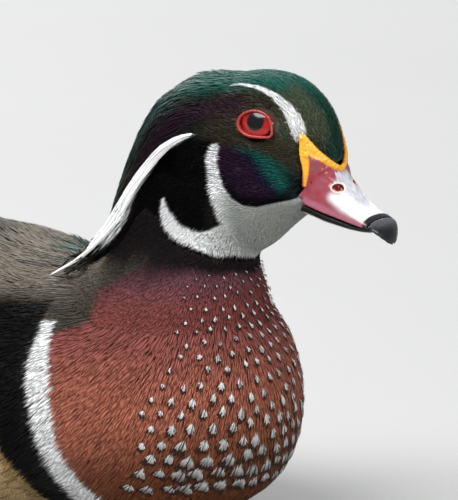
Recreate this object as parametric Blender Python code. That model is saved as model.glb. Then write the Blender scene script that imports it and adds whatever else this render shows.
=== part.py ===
"""A life-size wood duck drake at rest on its belly, as it floats: every named part is one closed solid.

The bird looks along +X, its left side is +Y, and the floor is z = 0. Sizes are in metres, written in
millimetres times MM. The head's own sizes are measured from the point midway between the eyes.
"""

import math

import bmesh
import bpy
import numpy as np
from mathutils import Matrix, Vector

MM = 0.001
GAP = 0.3 * MM

# Driving sizes of the whole bird.
HEAD_CENTRE = Vector((150.2, 0.0, 140.5)) * MM
HEAD_TURN = math.radians(-12.0)
CREST_STRAIGHT = (0.45, 0.95)
BREAST_CUT = 84.0 * MM
TAIL_ROOT = Vector((-112.0, 0.0, 66.0)) * MM
TAIL_LENGTH = 88.3 * MM
TAIL_RISE = math.radians(15.0)
TAIL_PAIRS = 6
TAIL_STEP = 1.3
TAIL_COVERTS = 5

# Torso stations from rump to breast: forward place, keel, widest level, back, half width.
TORSO_STATIONS = (
    (-128.0, 50.0, 61.0, 72.0, 11.0),
    (-116.0, 35.0, 58.0, 77.0, 27.0),
    (-98.0, 20.0, 55.0, 82.0, 41.0),
    (-72.0, 5.0, 51.0, 87.0, 53.0),
    (-42.0, -2.0, 48.0, 90.5, 60.0),
    (-8.0, -3.5, 46.5, 92.5, 63.5),
    (28.0, -3.5, 45.5, 92.5, 64.5),
    (60.0, -3.0, 44.0, 89.5, 63.5),
    (88.0, -2.0, 42.5, 86.0, 60.5),
    (112.0, -0.5, 41.0, 84.5, 53.5),
    (131.0, 4.0, 40.5, 82.5, 43.6),
    (143.6, 11.0, 40.0, 72.4, 32.0),
    (150.6, 21.0, 39.5, 59.2, 20.0),
    (153.8, 33.0, 39.0, 46.0, 6.0),
)

# Neck rings from the shoulders to the skull: level, centre's forward place, half depth, half width.
NECK_RINGS = (
    (56.0, 100.0, 43.0, 44.0),
    (68.0, 103.0, 41.5, 41.0),
    (77.0, 105.6, 38.0, 37.5),
    (84.0, 109.2, 32.2, 32.5),
    (90.0, 113.3, 27.3, 27.5),
    (98.0, 117.0, 24.0, 23.0),
    (108.0, 122.0, 24.0, 20.5),
    (118.0, 127.0, 22.0, 18.0),
)

# Head stations from nape to brow, in the head's own axes: forward place, throat, widest level, crown,
# half width.
HEAD_STATIONS = (
    (-46.0, -30.0, -20.0, -10.0, 4.5),
    (-43.0, -38.0, -20.0, -1.0, 11.0),
    (-36.0, -44.5, -20.0, 5.5, 16.5),
    (-26.0, -49.3, -19.5, 10.8, 19.0),
    (-14.0, -50.0, -19.5, 14.8, 19.3),
    (-5.0, -45.6, -19.5, 16.4, 18.5),
    (3.0, -38.2, -19.0, 16.2, 17.2),
    (9.0, -33.6, -17.5, 14.7, 15.4),
    (14.0, -30.6, -16.0, 11.9, 13.2),
    (18.5, -28.3, -14.5, 8.4, 10.2),
    (22.5, -25.0, -11.0, 3.2, 6.4),
    (25.2, -17.0, -8.5, -3.0, 2.4),
)

# Upper bill stations, in the head's axes: forward place, cutting edge, ridge, half width.
BILL_STATIONS = (
    (16.0, -25.2, -2.6, 10.0),
    (19.0, -26.2, -6.4, 10.1),
    (22.5, -27.3, -11.4, 9.7),
    (26.0, -28.3, -16.2, 9.0),
    (30.0, -29.3, -20.3, 8.4),
    (34.0, -30.2, -23.9, 8.2),
    (38.0, -30.9, -26.9, 8.3),
    (41.6, -31.5, -29.0, 7.9),
)
NAIL_STATIONS = (
    (41.9, -31.6, -29.1, 7.9),
    (43.6, -32.6, -30.0, 7.0),
    (45.2, -34.4, -31.4, 5.2),
    (46.4, -36.3, -33.2, 3.0),
    (46.8, -37.2, -35.2, 1.2),
)
LOWER_BILL_STATIONS = (
    (13.5, 4.0, 8.6),
    (20.0, 4.2, 8.6),
    (27.0, 3.4, 7.9),
    (34.0, 2.6, 7.2),
    (39.0, 1.9, 6.0),
    (41.3, 1.0, 4.0),
)
# The bill's lobe up each side of the face, on the head's skin: height, rear and front forward place.
LOBE_ROWS = (
    (-2.8, 16.9, 17.9),
    (-6.5, 16.3, 19.7),
    (-11.0, 15.6, 21.6),
    (-16.0, 15.1, 23.6),
    (-23.5, 14.9, 24.4),
)
LOBE_LIFT = 0.9 * MM
NOSTRIL_PLACE = Vector((28.6, 5.9, -19.9)) * MM
NOSTRIL_LENGTH, NOSTRIL_HEIGHT, NOSTRIL_DEPTH = 3.2 * MM, 1.7 * MM, 2.4 * MM

EYE_RADIUS = 5.6 * MM
EYE_PLACE = Vector((0.0, 10.7, -1.2)) * MM
LID_OUT = 15.2 * MM
LID_LENGTH, LID_HEIGHT = 5.6 * MM, 4.1 * MM
LID_THICK = 0.85 * MM

# The crest's middle line down the nape, in the head's axes: place, height, half width, depth of the hood.
HOOD_LINE = (
    (-9.0, 17.0, 11.0, 14.0),
    (-22.0, 16.4, 17.0, 19.5),
    (-35.5, 12.0, 19.5, 22.6),
    (-45.5, 5.0, 19.5, 22.0),
    (-53.6, -4.8, 18.8, 19.6),
    (-58.0, -17.0, 18.0, 17.0),
    (-60.6, -31.0, 17.5, 12.8),
    (-63.2, -42.0, 18.6, 9.4),
    (-65.5, -50.8, 21.5, 6.2),
    (-71.0, -56.8, 24.5, 4.0),
)

# Tiers of the hood's plumes: share where they start and end, how many, how far round, half width.
CREST_TIERS = (
    (0.06, 0.5, 4, 56.0, 5.6),
    (0.22, 0.74, 5, 70.0, 5.4),
    (0.42, 0.9, 5, 76.0, 5.6),
    (0.6, 1.03, 5, 66.0, 4.8),
)
CREST_ROOT_DEPTH, CREST_TIP_LIFT = -3.2, 0.4
# The long plume at each side that lies down on the back: share and turn of its root, tip in the head's axes.
SIDE_PLUME_ROOT, SIDE_PLUME_TIP = (0.7, 80.0), (-63.5, 38.0, -55.8)
SIDE_PLUME_HALF = 4.2

# Rows of feathers that lie on the body's side: how many, the first one's root and the step to the next
# one's, its tip and the step to the next one's (forward place, angle up from the side, lift), half width,
# places along it.
FLANK_ROWS = ((7, (34, 9, 1.6), (-17, 0, 0), (3, 18, 5.0), (-17, 0, 0), 8.0, 4),)
FLANK_REAR_ROWS = ((3, (-58, 2, 1.4), (-4, -12, 0), (-106, 20, 4.0), (1, -12, 0), 4.5, 4),)
WING_ROWS = (
    (5, (40, 79, 2.0), (-16, 0, 0), (-4, 80, 4.2), (-17, 0, 0), 8.4, 3),
    (4, (36, 63, 2.0), (-18, -1, 0), (-8, 64, 4.6), (-20, -1, 0), 8.6, 3),
    (4, (26, 34, 2.2), (-10, 7, 0), (-10, 33, 4.8), (-11, 7, 0), 7.0, 3),
    (4, (-16, 33, 1.4), (0, 4, 1.1), (-78, 32, 2.0), (4, 4, 1.1), 6.0, 4),
)
# Rows whose tips stand clear of the body: how many, root and step as above, tip and step (forward place,
# outward place, height), the direction that the tip faces and its step, half width, rise of the bow.
LONG_WING_ROWS = (
    (4, (-22, 64, 3.4), (-5, -6, 0), (-119, 11, 91.5), (8, 6, -1.3), (0.35, 0.85), (0.12, 0), 8.5, 4.0),
    (4, (-20, 36, 1.2), (-5, 8, 0), (-139, 13.5, 82.0), (8.6, 0.44, 1.37), (0.66, 0.75), (0, 0), 7.0, 5.0),
)
WING_BASE_PLACE = -30.0

# The stump that carries the tail: share of the tail's length, half width, half height.
TAIL_STUMP = ((-0.25, 13, 9), (0.0, 14, 9), (0.13, 13, 7.5), (0.25, 10, 5.2), (0.34, 7, 3.4))
# The soft mass under it: forward place, lower and upper level, half width.
UNDERTAIL_STATIONS = ((-100, 31, 50, 18), (-113, 39, 63, 17), (-127, 51, 69, 14), (-139, 62, 71, 9))

FOOT_TOE_LENGTHS = (40.0 * MM, 46.0 * MM, 41.0 * MM)
FOOT_PLACE = Vector((-30.0, 42.5, 0.0)) * MM
ANKLE_PLACE = Vector((-66.0, 39.0, 3.6)) * MM
THIGH_PLACE = Vector((-44.0, 31.0, 15.0)) * MM
SHANK_RADIUS = 2.9 * MM

# Share of a feather's half width at each place along it, for a round tip and for a drawn-out one.
ROUND_TIP = ((0.0, 0.55), (0.3, 0.92), (0.62, 1.0), (0.87, 0.74), (1.0, 0.2))
LONG_TIP = ((0.0, 0.8), (0.3, 1.0), (0.6, 0.86), (0.85, 0.5), (1.0, 0.1))
# A blade's thickness at its root and its tip.
STOUT, THIN, THICK = (1.1 * MM, 0.6 * MM), (0.55 * MM, 0.5 * MM), (1.8 * MM, 0.8 * MM)
COVERT = (1.2 * MM, 0.6 * MM)

COLOURS = {
    "breast": ((0.23, 0.055, 0.035), 0.6),
    "back": ((0.055, 0.05, 0.04), 0.5),
    "neck": ((0.09, 0.03, 0.045), 0.6),
    "head": ((0.01, 0.06, 0.045), 0.35),
    "crest": ((0.015, 0.08, 0.06), 0.35),
    "bill": ((0.72, 0.16, 0.17), 0.3),
    "nail": ((0.01, 0.01, 0.012), 0.25),
    "eye": ((0.45, 0.01, 0.008), 0.08),
    "lid": ((0.65, 0.03, 0.02), 0.4),
    "flank": ((0.55, 0.38, 0.16), 0.6),
    "wing": ((0.02, 0.03, 0.06), 0.4),
    "tail": ((0.015, 0.02, 0.02), 0.45),
    "leg": ((0.45, 0.3, 0.08), 0.5),
}


def clear_scene():
    for obj in list(bpy.data.objects):
        bpy.data.objects.remove(obj)


def make_material(name):
    colour, roughness = COLOURS[name]
    material = bpy.data.materials.get(name) or bpy.data.materials.new(name)
    material.use_nodes = True
    shader = material.node_tree.nodes["Principled BSDF"]
    shader.inputs["Base Color"].default_value = (*colour, 1.0)
    shader.inputs["Roughness"].default_value = roughness
    shader.inputs["Metallic"].default_value = 0.0
    return material


def smooth_rows(rows, count):
    """Rows read at evenly spaced steps along one smooth curve through all of them."""
    table = np.array(rows, float)
    table = np.vstack([2 * table[0] - table[1], table, 2 * table[-1] - table[-2]])
    found = []
    for t in np.linspace(0, len(rows) - 1, count):
        i = min(int(t), len(rows) - 2)
        a, b, c, d = table[i : i + 4]
        u = t - i
        found.append(
            0.5 * (2 * b + (c - a) * u + (2 * a - 5 * b + 4 * c - d) * u**2 + (3 * b - a - 3 * c + d) * u**3)
        )
    return np.array(found)


def oval(angle, roundness):
    """A point of a rounded square or oval: roundness 2 is an ellipse, more is squarer."""
    c, s = math.cos(angle), math.sin(angle)
    power = 2.0 / roundness
    return math.copysign(abs(c) ** power, c), math.copysign(abs(s) ** power, s)


def from_head(point, turn=HEAD_TURN):
    """A point in the head's own axes, in the bird's axes."""
    return HEAD_CENTRE + Matrix.Rotation(turn, 3, "Z") @ Vector(point)


def new_object(name, vertices, faces, material):
    mesh = bpy.data.meshes.new(name)
    mesh.from_pydata([tuple(v) for v in vertices], [], faces)
    obj = bpy.data.objects.new(name, mesh)
    bpy.context.scene.collection.objects.link(obj)
    obj.data.materials.append(make_material(material))
    return obj


def face_out(obj):
    made = bmesh.new()
    made.from_mesh(obj.data)
    bmesh.ops.recalc_face_normals(made, faces=made.faces)
    if made.calc_volume(signed=True) < 0:
        bmesh.ops.reverse_faces(made, faces=made.faces)
    made.to_mesh(obj.data)
    made.free()
    return obj


def loft(name, rings, material):
    """One closed skin through rings of equal count, each end closed to its middle."""
    size = len(rings[0])
    vertices = [Vector(p) for ring in rings for p in ring]
    faces = []
    for r in range(len(rings) - 1):
        for k in range(size):
            a, b = r * size + k, r * size + (k + 1) % size
            faces.append((a, b, b + size, a + size))
    for first, ring in ((0, rings[0]), ((len(rings) - 1) * size, rings[-1])):
        vertices.append(sum((Vector(p) for p in ring), Vector()) / size)
        hub = len(vertices) - 1
        faces += [(first + k, hub, first + (k + 1) % size) for k in range(size)]
    return face_out(new_object(name, vertices, faces, material))


def joined(name, pieces, material):
    """The first piece united with all the others, as one closed body."""
    base, others = pieces[0], pieces[1:]
    base.name = base.data.name = name
    if others:
        group = bpy.data.collections.new(name + "_pieces")
        for piece in others:
            group.objects.link(piece)
        change(base, "UNION", group=group)
        for piece in others:
            bpy.data.objects.remove(piece)
        bpy.data.collections.remove(group)
    base.data.materials.clear()
    base.data.materials.append(make_material(material))
    return keep_largest(base)


def change(obj, operation, other=None, group=None, solver="EXACT"):
    """A Boolean that is applied to obj straight away."""
    modifier = obj.modifiers.new(operation.title(), "BOOLEAN")
    modifier.operation = operation
    modifier.solver = solver
    if group is None:
        modifier.object = other
    else:
        modifier.operand_type = "COLLECTION"
        modifier.collection = group
    bpy.context.view_layer.update()
    made = bpy.data.meshes.new_from_object(obj.evaluated_get(bpy.context.evaluated_depsgraph_get()))
    obj.modifiers.clear()
    obj.data = made


def keep_largest(obj):
    """Only the largest closed surface of obj stays."""
    made = bmesh.new()
    made.from_mesh(obj.data)
    left, shells = set(made.faces), []
    while left:
        seed = left.pop()
        shell, edge = {seed}, [seed]
        while edge:
            face = edge.pop()
            for near in (f for e in face.edges for f in e.link_faces):
                if near in left:
                    left.discard(near)
                    shell.add(near)
                    edge.append(near)
        shells.append(shell)
    largest = max(shells, key=lambda shell: sum(face.calc_area() for face in shell))
    bmesh.ops.delete(made, geom=[f for s in shells if s is not largest for f in s], context="FACES")
    made.to_mesh(obj.data)
    made.free()
    return obj


def grown(obj, by=GAP):
    """A hidden copy of obj, its skin moved outwards, for cutting its neighbours clear."""
    copy = obj.copy()
    copy.data = obj.data.copy()
    copy.name = obj.name + "_room"
    copy.hide_render = True
    copy.display_type = "WIRE"
    bpy.context.scene.collection.objects.link(copy)
    made = bmesh.new()
    made.from_mesh(copy.data)
    made.normal_update()
    moves = [v.normal * by for v in made.verts]
    for vertex, move in zip(made.verts, moves):
        vertex.co += move
    made.to_mesh(copy.data)
    made.free()
    return copy


def cut(obj, *cutters, solver="EXACT"):
    for cutter in cutters:
        change(obj, "DIFFERENCE", other=cutter, solver=solver)
    return keep_largest(obj)


def smooth_shaded(obj, degrees=50):
    obj.data.shade_smooth()
    obj.data.set_sharp_from_angle(angle=math.radians(degrees))


class Body:
    """The torso's skin, read at any forward place and angle up from the side."""

    STEPS = 240
    LOW_ROUNDNESS, HIGH_ROUNDNESS = 2.05, 2.15

    def __init__(self):
        self.table = smooth_rows(TORSO_STATIONS, self.STEPS) * MM

    def row(self, x):
        return [float(np.interp(x, self.table[:, 0], self.table[:, k])) for k in range(1, 5)]

    def point(self, x, degrees, lift=0.0, side=1):
        low, mid, high, half = self.row(x)
        angle = math.radians(degrees)
        roundness = self.HIGH_ROUNDNESS if degrees % 360 <= 180 else self.LOW_ROUNDNESS
        y, z = oval(angle, roundness)
        at = Vector((x, y * half * side, max(mid + z * ((high - mid) if z > 0 else (mid - low)), 0.0)))
        return at + self.normal(x, degrees, side) * lift if lift else at

    def normal(self, x, degrees, side=1):
        step, turn = 1.0 * MM, 2.0
        along = self.point(x + step, degrees, 0.0, side) - self.point(x - step, degrees, 0.0, side)
        around = self.point(x, degrees + turn, 0.0, side) - self.point(x, degrees - turn, 0.0, side)
        return along.cross(around).normalized() * -side


BODY = Body()


def torso_rings(start, end, count, segments=24):
    """Torso rings between two forward places, closest together where the body narrows fastest."""
    inside = [row[0] for row in BODY.table if start < row[0] < end]
    places = [start] + [inside[round(k)] for k in np.linspace(0, len(inside) - 1, count)[1:-1]] + [end]
    turns = [360.0 * k / segments for k in range(segments)]
    return [[BODY.point(x, turn) for turn in turns] for x in places]


def build_torso():
    """The body whole, as a room for its neighbours, and parted in two by one thin cut."""
    front, rear = TORSO_STATIONS[-1][0] * MM, TORSO_STATIONS[0][0] * MM
    behind = torso_rings(rear, BREAST_CUT - GAP / 2, 12)
    ahead = torso_rings(BREAST_CUT + GAP / 2, front, 9)
    whole = loft("whole_body", behind + ahead, "back")
    return whole, loft("breast", ahead, "breast"), loft("torso", behind, "back")


def build_neck(segments=20):
    rings = []
    for level, centre, depth, width in smooth_rows(NECK_RINGS, 8) * MM:
        rings.append(
            [
                Vector((centre + depth * math.cos(a), width * math.sin(a), level))
                for a in np.linspace(0, 2 * math.pi, segments, endpoint=False)
            ]
        )
    return loft("neck", rings, "neck")


HEAD_LOW_ROUNDNESS, HEAD_HIGH_ROUNDNESS = 2.1, 2.05


def head_side(forward, up):
    """Half the head's width at a forward place and height."""
    table = smooth_rows(HEAD_STATIONS, 60) * MM
    low, mid, high, half = (float(np.interp(forward, table[:, 0], table[:, k])) for k in range(1, 5))
    share = (up - mid) / ((high - mid) if up > mid else (mid - low))
    roundness = HEAD_HIGH_ROUNDNESS if up > mid else HEAD_LOW_ROUNDNESS
    return half * max(1 - abs(share) ** roundness, 0.0) ** (1 / roundness)


def build_head(segments=20):
    rings = []
    for place, low, mid, high, half in smooth_rows(HEAD_STATIONS, 14) * MM:
        ring = []
        for a in np.linspace(0, 2 * math.pi, segments, endpoint=False):
            y, z = oval(a, HEAD_HIGH_ROUNDNESS if math.sin(a) > 0 else HEAD_LOW_ROUNDNESS)
            ring.append(from_head((place, y * half, mid + z * ((high - mid) if z > 0 else (mid - low)))))
        rings.append(ring)
    return loft("head", rings, "head")


def bill_rings(stations, count, belly=0.7 * MM, segments=18):
    rings = []
    for place, edge, ridge, half in smooth_rows(stations, count) * MM:
        ring = []
        for a in np.linspace(0, 2 * math.pi, segments, endpoint=False):
            y, z = oval(a, 2.2 if math.sin(a) > 0 else 2.6)
            ring.append(from_head((place, y * half, edge + z * ((ridge - edge) if z > 0 else belly))))
        rings.append(ring)
    return rings


def edge_level(place):
    """Height of the upper bill's cutting edge at a forward place."""
    rows = np.array(BILL_STATIONS + NAIL_STATIONS) * MM
    return float(np.interp(place, rows[:, 0], rows[:, 1]))


def lobe(side, columns=4):
    """The thin plate of the bill that runs up to a point between the forehead and the eye."""
    outer, inner = [], []
    for up, rear, front in np.array(LOBE_ROWS) * MM:
        for share in np.linspace(0, 1, columns):
            forward = rear + (front - rear) * share
            out = head_side(forward, up)
            lift = LOBE_LIFT * (1.0 if 0 < share < 1 else 0.7)
            outer.append(from_head((forward + 0.3 * lift, side * (out + lift), up)))
            inner.append(from_head((forward - 1 * MM, side * max(out - 2 * MM, 0.4 * MM), up)))
    rows, count = len(LOBE_ROWS), len(outer)
    return face_out(new_object("lobe", outer + inner, shell_faces(rows, columns, count), "bill"))


def shell_faces(rows, cols, count):
    """Faces of a sheet of rows by cols points, of its twin count places on, and of the rim between."""
    faces = []
    for i in range(rows - 1):
        for j in range(cols - 1):
            a, b = i * cols + j, i * cols + j + 1
            c, d = b + cols, a + cols
            faces += [(a, b, c), (a, c, d)]
            faces += [(a + count, c + count, b + count), (a + count, d + count, c + count)]
    border = list(range(cols))
    border += [i * cols + cols - 1 for i in range(1, rows)]
    border += [(rows - 1) * cols + j for j in range(cols - 2, -1, -1)]
    border += [i * cols for i in range(rows - 2, 0, -1)]
    for a, b in zip(border, border[1:] + border[:1]):
        faces.append((a, a + count, b + count, b))
    return faces


def build_bill():
    core = loft("bill_upper", bill_rings(BILL_STATIONS, 9), "bill")
    upper = joined("bill_upper", [core, lobe(-1), lobe(1)], "bill")
    nail = loft("bill_nail", bill_rings(NAIL_STATIONS, 6), "nail")
    rings = []
    for place, depth, half in smooth_rows(LOWER_BILL_STATIONS, 8) * MM:
        top = edge_level(min(place, 41.0 * MM)) - 1.3 * MM
        ring = []
        for a in np.linspace(0, 2 * math.pi, 14, endpoint=False):
            y, z = oval(a, 2.4)
            ring.append(from_head((place, y * half, top + z * (0.3 * MM if z > 0 else depth))))
        rings.append(ring)
    lower = loft("bill_lower", rings, "nail")
    for side in (-1, 1):
        hole = new_oval_bar("nostril_cutter", side)
        cut(upper, hole)
        bpy.data.objects.remove(hole)
    return upper, nail, lower


def new_oval_bar(name, side, segments=12):
    """A short oval bar across the bill's wall, which opens one nostril."""
    rings = []
    for out in (NOSTRIL_PLACE.y - NOSTRIL_DEPTH, NOSTRIL_PLACE.y + 4 * MM):
        ring = []
        for a in np.linspace(0, 2 * math.pi, segments, endpoint=False):
            forward = math.cos(a) * NOSTRIL_LENGTH / 2
            up = math.sin(a) * NOSTRIL_HEIGHT / 2 - forward * 0.45
            ring.append(from_head((NOSTRIL_PLACE.x + forward, side * out, NOSTRIL_PLACE.z + up)))
        rings.append(ring)
    return loft(name, rings, "bill")


def build_eye(side, word):
    made = bmesh.new()
    bmesh.ops.create_uvsphere(made, u_segments=14, v_segments=8, radius=EYE_RADIUS)
    bmesh.ops.rotate(made, verts=made.verts, matrix=Matrix.Rotation(math.pi / 2, 3, "X"))
    for vertex in made.verts:
        vertex.co = from_head(vertex.co + Vector((EYE_PLACE.x, side * EYE_PLACE.y, EYE_PLACE.z)))
    mesh = bpy.data.meshes.new("eye_" + word)
    made.to_mesh(mesh)
    made.free()
    obj = bpy.data.objects.new("eye_" + word, mesh)
    bpy.context.scene.collection.objects.link(obj)
    mesh.materials.append(make_material("eye"))
    return face_out(obj)


def lid_middle(angle):
    """A point of the lids' edge round the eye: an oval drawn out to a low corner in front."""
    corner = max(math.cos(angle), 0.0) ** 6
    forward = LID_LENGTH * math.cos(angle) + 1.0 * MM * corner
    up = LID_HEIGHT * math.sin(angle) - 1.6 * MM * corner
    slope = 0.17 * forward + 0.3 * up
    return Vector((forward, LID_OUT - slope, up))


def build_lids(side, word, steps=18, segments=5):
    rings = []
    for a in np.linspace(0, 2 * math.pi, steps, endpoint=False):
        middle = lid_middle(a)
        out = Vector((math.cos(a), 0.35, math.sin(a))).normalized()
        ring = []
        for b in np.linspace(0, 2 * math.pi, segments, endpoint=False):
            at = middle + out * LID_THICK * math.cos(b) + Vector((0, 1, 0)) * LID_THICK * math.sin(b)
            ring.append(from_head((at.x, side * at.y, at.z)))
        rings.append(ring)
    size = segments
    faces = []
    for r in range(steps):
        for k in range(size):
            a, b = r * size + k, r * size + (k + 1) % size
            c, d = ((r + 1) % steps) * size + (k + 1) % size, ((r + 1) % steps) * size + k
            faces.append((a, b, c, d))
    return face_out(new_object("eyelids_" + word, [p for ring in rings for p in ring], faces, "lid"))


def vane(path, ups, half_width, shape=ROUND_TIP, thick=STOUT):
    """A closed feather blade: its shaft follows path, and each up is the face's outward direction."""
    count = len(path)
    shares = np.linspace(0, 1, count)
    widths = np.interp(shares, *zip(*shape)) * half_width
    corners = []
    for i, at in enumerate(path):
        ahead = (path[min(i + 1, count - 1)] - path[max(i - 1, 0)]).normalized()
        up = (ups[i] - ahead * ups[i].dot(ahead)).normalized()
        across = ahead.cross(up)
        half = (thick[0] + (thick[1] - thick[0]) * shares[i]) / 2
        corners += [
            at + across * widths[i] + up * half,
            at - across * widths[i] + up * half,
            at - across * widths[i] - up * half,
            at + across * widths[i] - up * half,
        ]
    faces = [(0, 1, 2), (0, 2, 3)]
    for i in range(count - 1):
        a, b = 4 * i, 4 * i + 4
        faces += [(a, b, b + 1), (a, b + 1, a + 1), (a + 3, b + 2, b + 3), (a + 3, a + 2, b + 2)]
        faces += [(a + 1, b + 1, b + 2), (a + 1, b + 2, a + 2), (a, b + 3, b), (a, a + 3, b + 3)]
    last = 4 * (count - 1)
    faces += [(last, last + 2, last + 1), (last, last + 3, last + 2)]
    return face_out(new_object("vane", corners, faces, "wing"))


def body_vane(side, start, end, half_width, shape=ROUND_TIP, steps=4, thick=STOUT):
    """A blade that lies along the body: start and end are forward place, angle and lift, in mm."""
    path, ups = [], []
    for share in np.linspace(0, 1, steps):
        x, degrees, lift = (a + (b - a) * share for a, b in zip(start, end))
        path.append(BODY.point(x * MM, degrees, lift * MM, side))
        ups.append(BODY.normal(x * MM, degrees, side))
    return vane(path, ups, half_width * MM, shape, thick)


def free_vane(root, tip, face_root, face_tip, half_width, bow, shape=ROUND_TIP, steps=4, thick=STOUT):
    """A blade from root to tip in one gentle bow."""
    path, ups = [], []
    for share in np.linspace(0, 1, steps):
        up = (face_root * (1 - share) + face_tip * share).normalized()
        path.append(root * (1 - share) + tip * share + up * bow * 4 * share * (1 - share))
        ups.append(up)
    return vane(path, ups, half_width, shape, thick)


def stepped(first, step, k):
    """The k-th of a row of places, each a step on from the one before."""
    return tuple(a + b * k for a, b in zip(first, step))


def body_rows(side, rows, shape=ROUND_TIP):
    """The blades of some rows that lie on the body's side."""
    pieces = []
    for count, root, root_step, tip, tip_step, half, steps in rows:
        for k in range(count):
            start, end = stepped(root, root_step, k), stepped(tip, tip_step, k)
            pieces.append(body_vane(side, start, end, half, shape, steps))
    return pieces


def pad(name, side, x_range, angle_range, height, material, steps=(9, 5), rim_height=1.0 * MM):
    """A raised shield with rounded ends on the body's side, thickest in its middle and thin at its rim."""
    rows, cols = steps
    outer, inner = [], []
    for i in range(rows):
        u = i / (rows - 1)
        x = (x_range[0] + (x_range[1] - x_range[0]) * (1 - math.cos(math.pi * u)) / 2) * MM
        end = math.sin(math.pi * u)
        middle, reach = sum(angle_range) / 2, (angle_range[1] - angle_range[0]) / 2
        for j in range(cols):
            v = 2 * j / (cols - 1) - 1
            degrees = middle + reach * (0.3 + 0.7 * end**0.8) * v
            rim = end**0.5 * (1 - v**4) ** 0.5
            outer.append(BODY.point(x, degrees, (height * MM - rim_height) * rim + rim_height, side))
            inner.append(BODY.point(x, degrees, -4 * MM, side))
    return face_out(new_object(name, outer + inner, shell_faces(rows, cols, rows * cols), material))


def hood_row(share):
    """Place, height, half width and depth of the crest's hood at a share of its length, run on past 1."""
    table = smooth_rows(HOOD_LINE, 120) * MM
    if share > 1:
        return table[-1] + (table[-1] - table[-9]) * (share - 1) * 119 / 8
    return np.array([np.interp(share, np.linspace(0, 1, 120), table[:, k]) for k in range(4)])


def hood_point(share, degrees, lift=0.0):
    """A point of the hood and its outward direction: degrees run from -90 to 90 across the nape.

    The hood turns with the head at the crown and lies straight on the back at its lower end.
    """
    place, height, half, depth = hood_row(share)
    before, after = hood_row(max(share - 0.02, 0)), hood_row(share + 0.02)
    along = Vector((after[0] - before[0], 0, after[1] - before[1])).normalized()
    out = Vector((along.z, 0, -along.x))
    a = math.radians(degrees)
    at = Vector((place, 0, height)) - out * depth * (1 - math.cos(a)) + Vector((0, half * math.sin(a), 0))
    up = (out * math.cos(a) * half + Vector((0, math.sin(a) * depth, 0))).normalized()
    turn = HEAD_TURN * float(np.interp(share, CREST_STRAIGHT, (1, 0)))
    return from_head(at + up * lift, turn), from_head(up, turn) - HEAD_CENTRE


def hood_lock(start, end, half_width):
    """A drawn-out plume that lies along the hood: start and end are share, angle and lift in mm."""
    path, ups = [], []
    for share in np.linspace(0, 1, 4):
        s, degrees, lift = (a + (b - a) * share for a, b in zip(start, end))
        at, up = hood_point(s, degrees, lift * MM)
        path.append(at)
        ups.append(up)
    return vane(path, ups, half_width * MM, LONG_TIP, THICK)


def side_plume(side):
    """A long plume that leaves the hood's edge and lies down on the back."""
    share, degrees = SIDE_PLUME_ROOT
    forward, out, height = SIDE_PLUME_TIP
    root, face = hood_point(share, side * degrees, CREST_ROOT_DEPTH / 2 * MM)
    end = from_head(Vector((forward, side * out, height)) * MM)
    up = Vector((-0.2, side * 0.5, 0.85))
    return free_vane(root, end, face, up, SIDE_PLUME_HALF * MM, 1.5 * MM, LONG_TIP, 4, THICK)


def build_crest():
    rings = []
    for share in np.linspace(0.03, 0.86, 7):
        ring = [hood_point(share, degrees, -2.6 * MM)[0] for degrees in np.linspace(-86, 86, 8)]
        ring += [ring[-1].lerp(ring[0], k / 4) for k in range(1, 4)]
        rings.append(ring)
    pieces = [loft("crest", rings, "crest")]
    for start, end, count, reach, half in CREST_TIERS:
        for k in range(count):
            degrees = reach * (2 * k / (count - 1) - 1)
            late = 0.04 * math.sin(2.3 * k + 7 * start)
            root, tip = (start, degrees, CREST_ROOT_DEPTH), (end + late, degrees * 0.94, CREST_TIP_LIFT)
            pieces.append(hood_lock(root, tip, half))
    pieces += [side_plume(side) for side in (-1, 1)]
    return joined("crest", pieces, "crest")


def build_flank(side, word):
    pieces = [pad("flank_" + word, side, (-92, 74), (-52, 19), 3.2, "flank", steps=(10, 5))]
    pieces += body_rows(side, FLANK_ROWS) + body_rows(side, FLANK_REAR_ROWS, LONG_TIP)
    return joined("flank_" + word, pieces, "flank")


def build_wing(side, word):
    pieces = [pad("wing_" + word, side, (-74, 66), (26, 83), 3.4, "wing")]
    pieces += body_rows(side, WING_ROWS)
    for count, root, root_step, tip, tip_step, facing, facing_step, half, bow in LONG_WING_ROWS:
        for k in range(count):
            x, degrees, lift = stepped(root, root_step, k)
            forward, out, up = stepped(tip, tip_step, k)
            sideways, upwards = stepped(facing, facing_step, k)
            base = BODY.normal(WING_BASE_PLACE * MM, degrees, side)
            start = BODY.point(x * MM, degrees, lift * MM, side)
            end = Vector((forward, side * out, up)) * MM
            facing_tip = Vector((0, side * sideways, upwards))
            pieces.append(free_vane(start, end, base, facing_tip, half * MM, bow * MM))
    return joined("wing_" + word, pieces, "wing")


def tail_point(share, across, level):
    """A point of the tail, in its own slope: share of its length, mm across and mm above its middle."""
    along = Vector((-math.cos(TAIL_RISE), 0, math.sin(TAIL_RISE)))
    up = Vector((math.sin(TAIL_RISE), 0, math.cos(TAIL_RISE)))
    return TAIL_ROOT + along * TAIL_LENGTH * share + Vector((0, across * MM, 0)) + up * level * MM


def tail_vane(root, tip, tilt, half_width, bulge, thick):
    """A blade between two places of tail_point, tilted outwards by tilt."""
    face = Vector((math.sin(TAIL_RISE), tilt, math.cos(TAIL_RISE))).normalized()
    start, end = tail_point(*root), tail_point(*tip)
    return free_vane(start, end, face, face, half_width * MM, bulge * MM, thick=thick)


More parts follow.
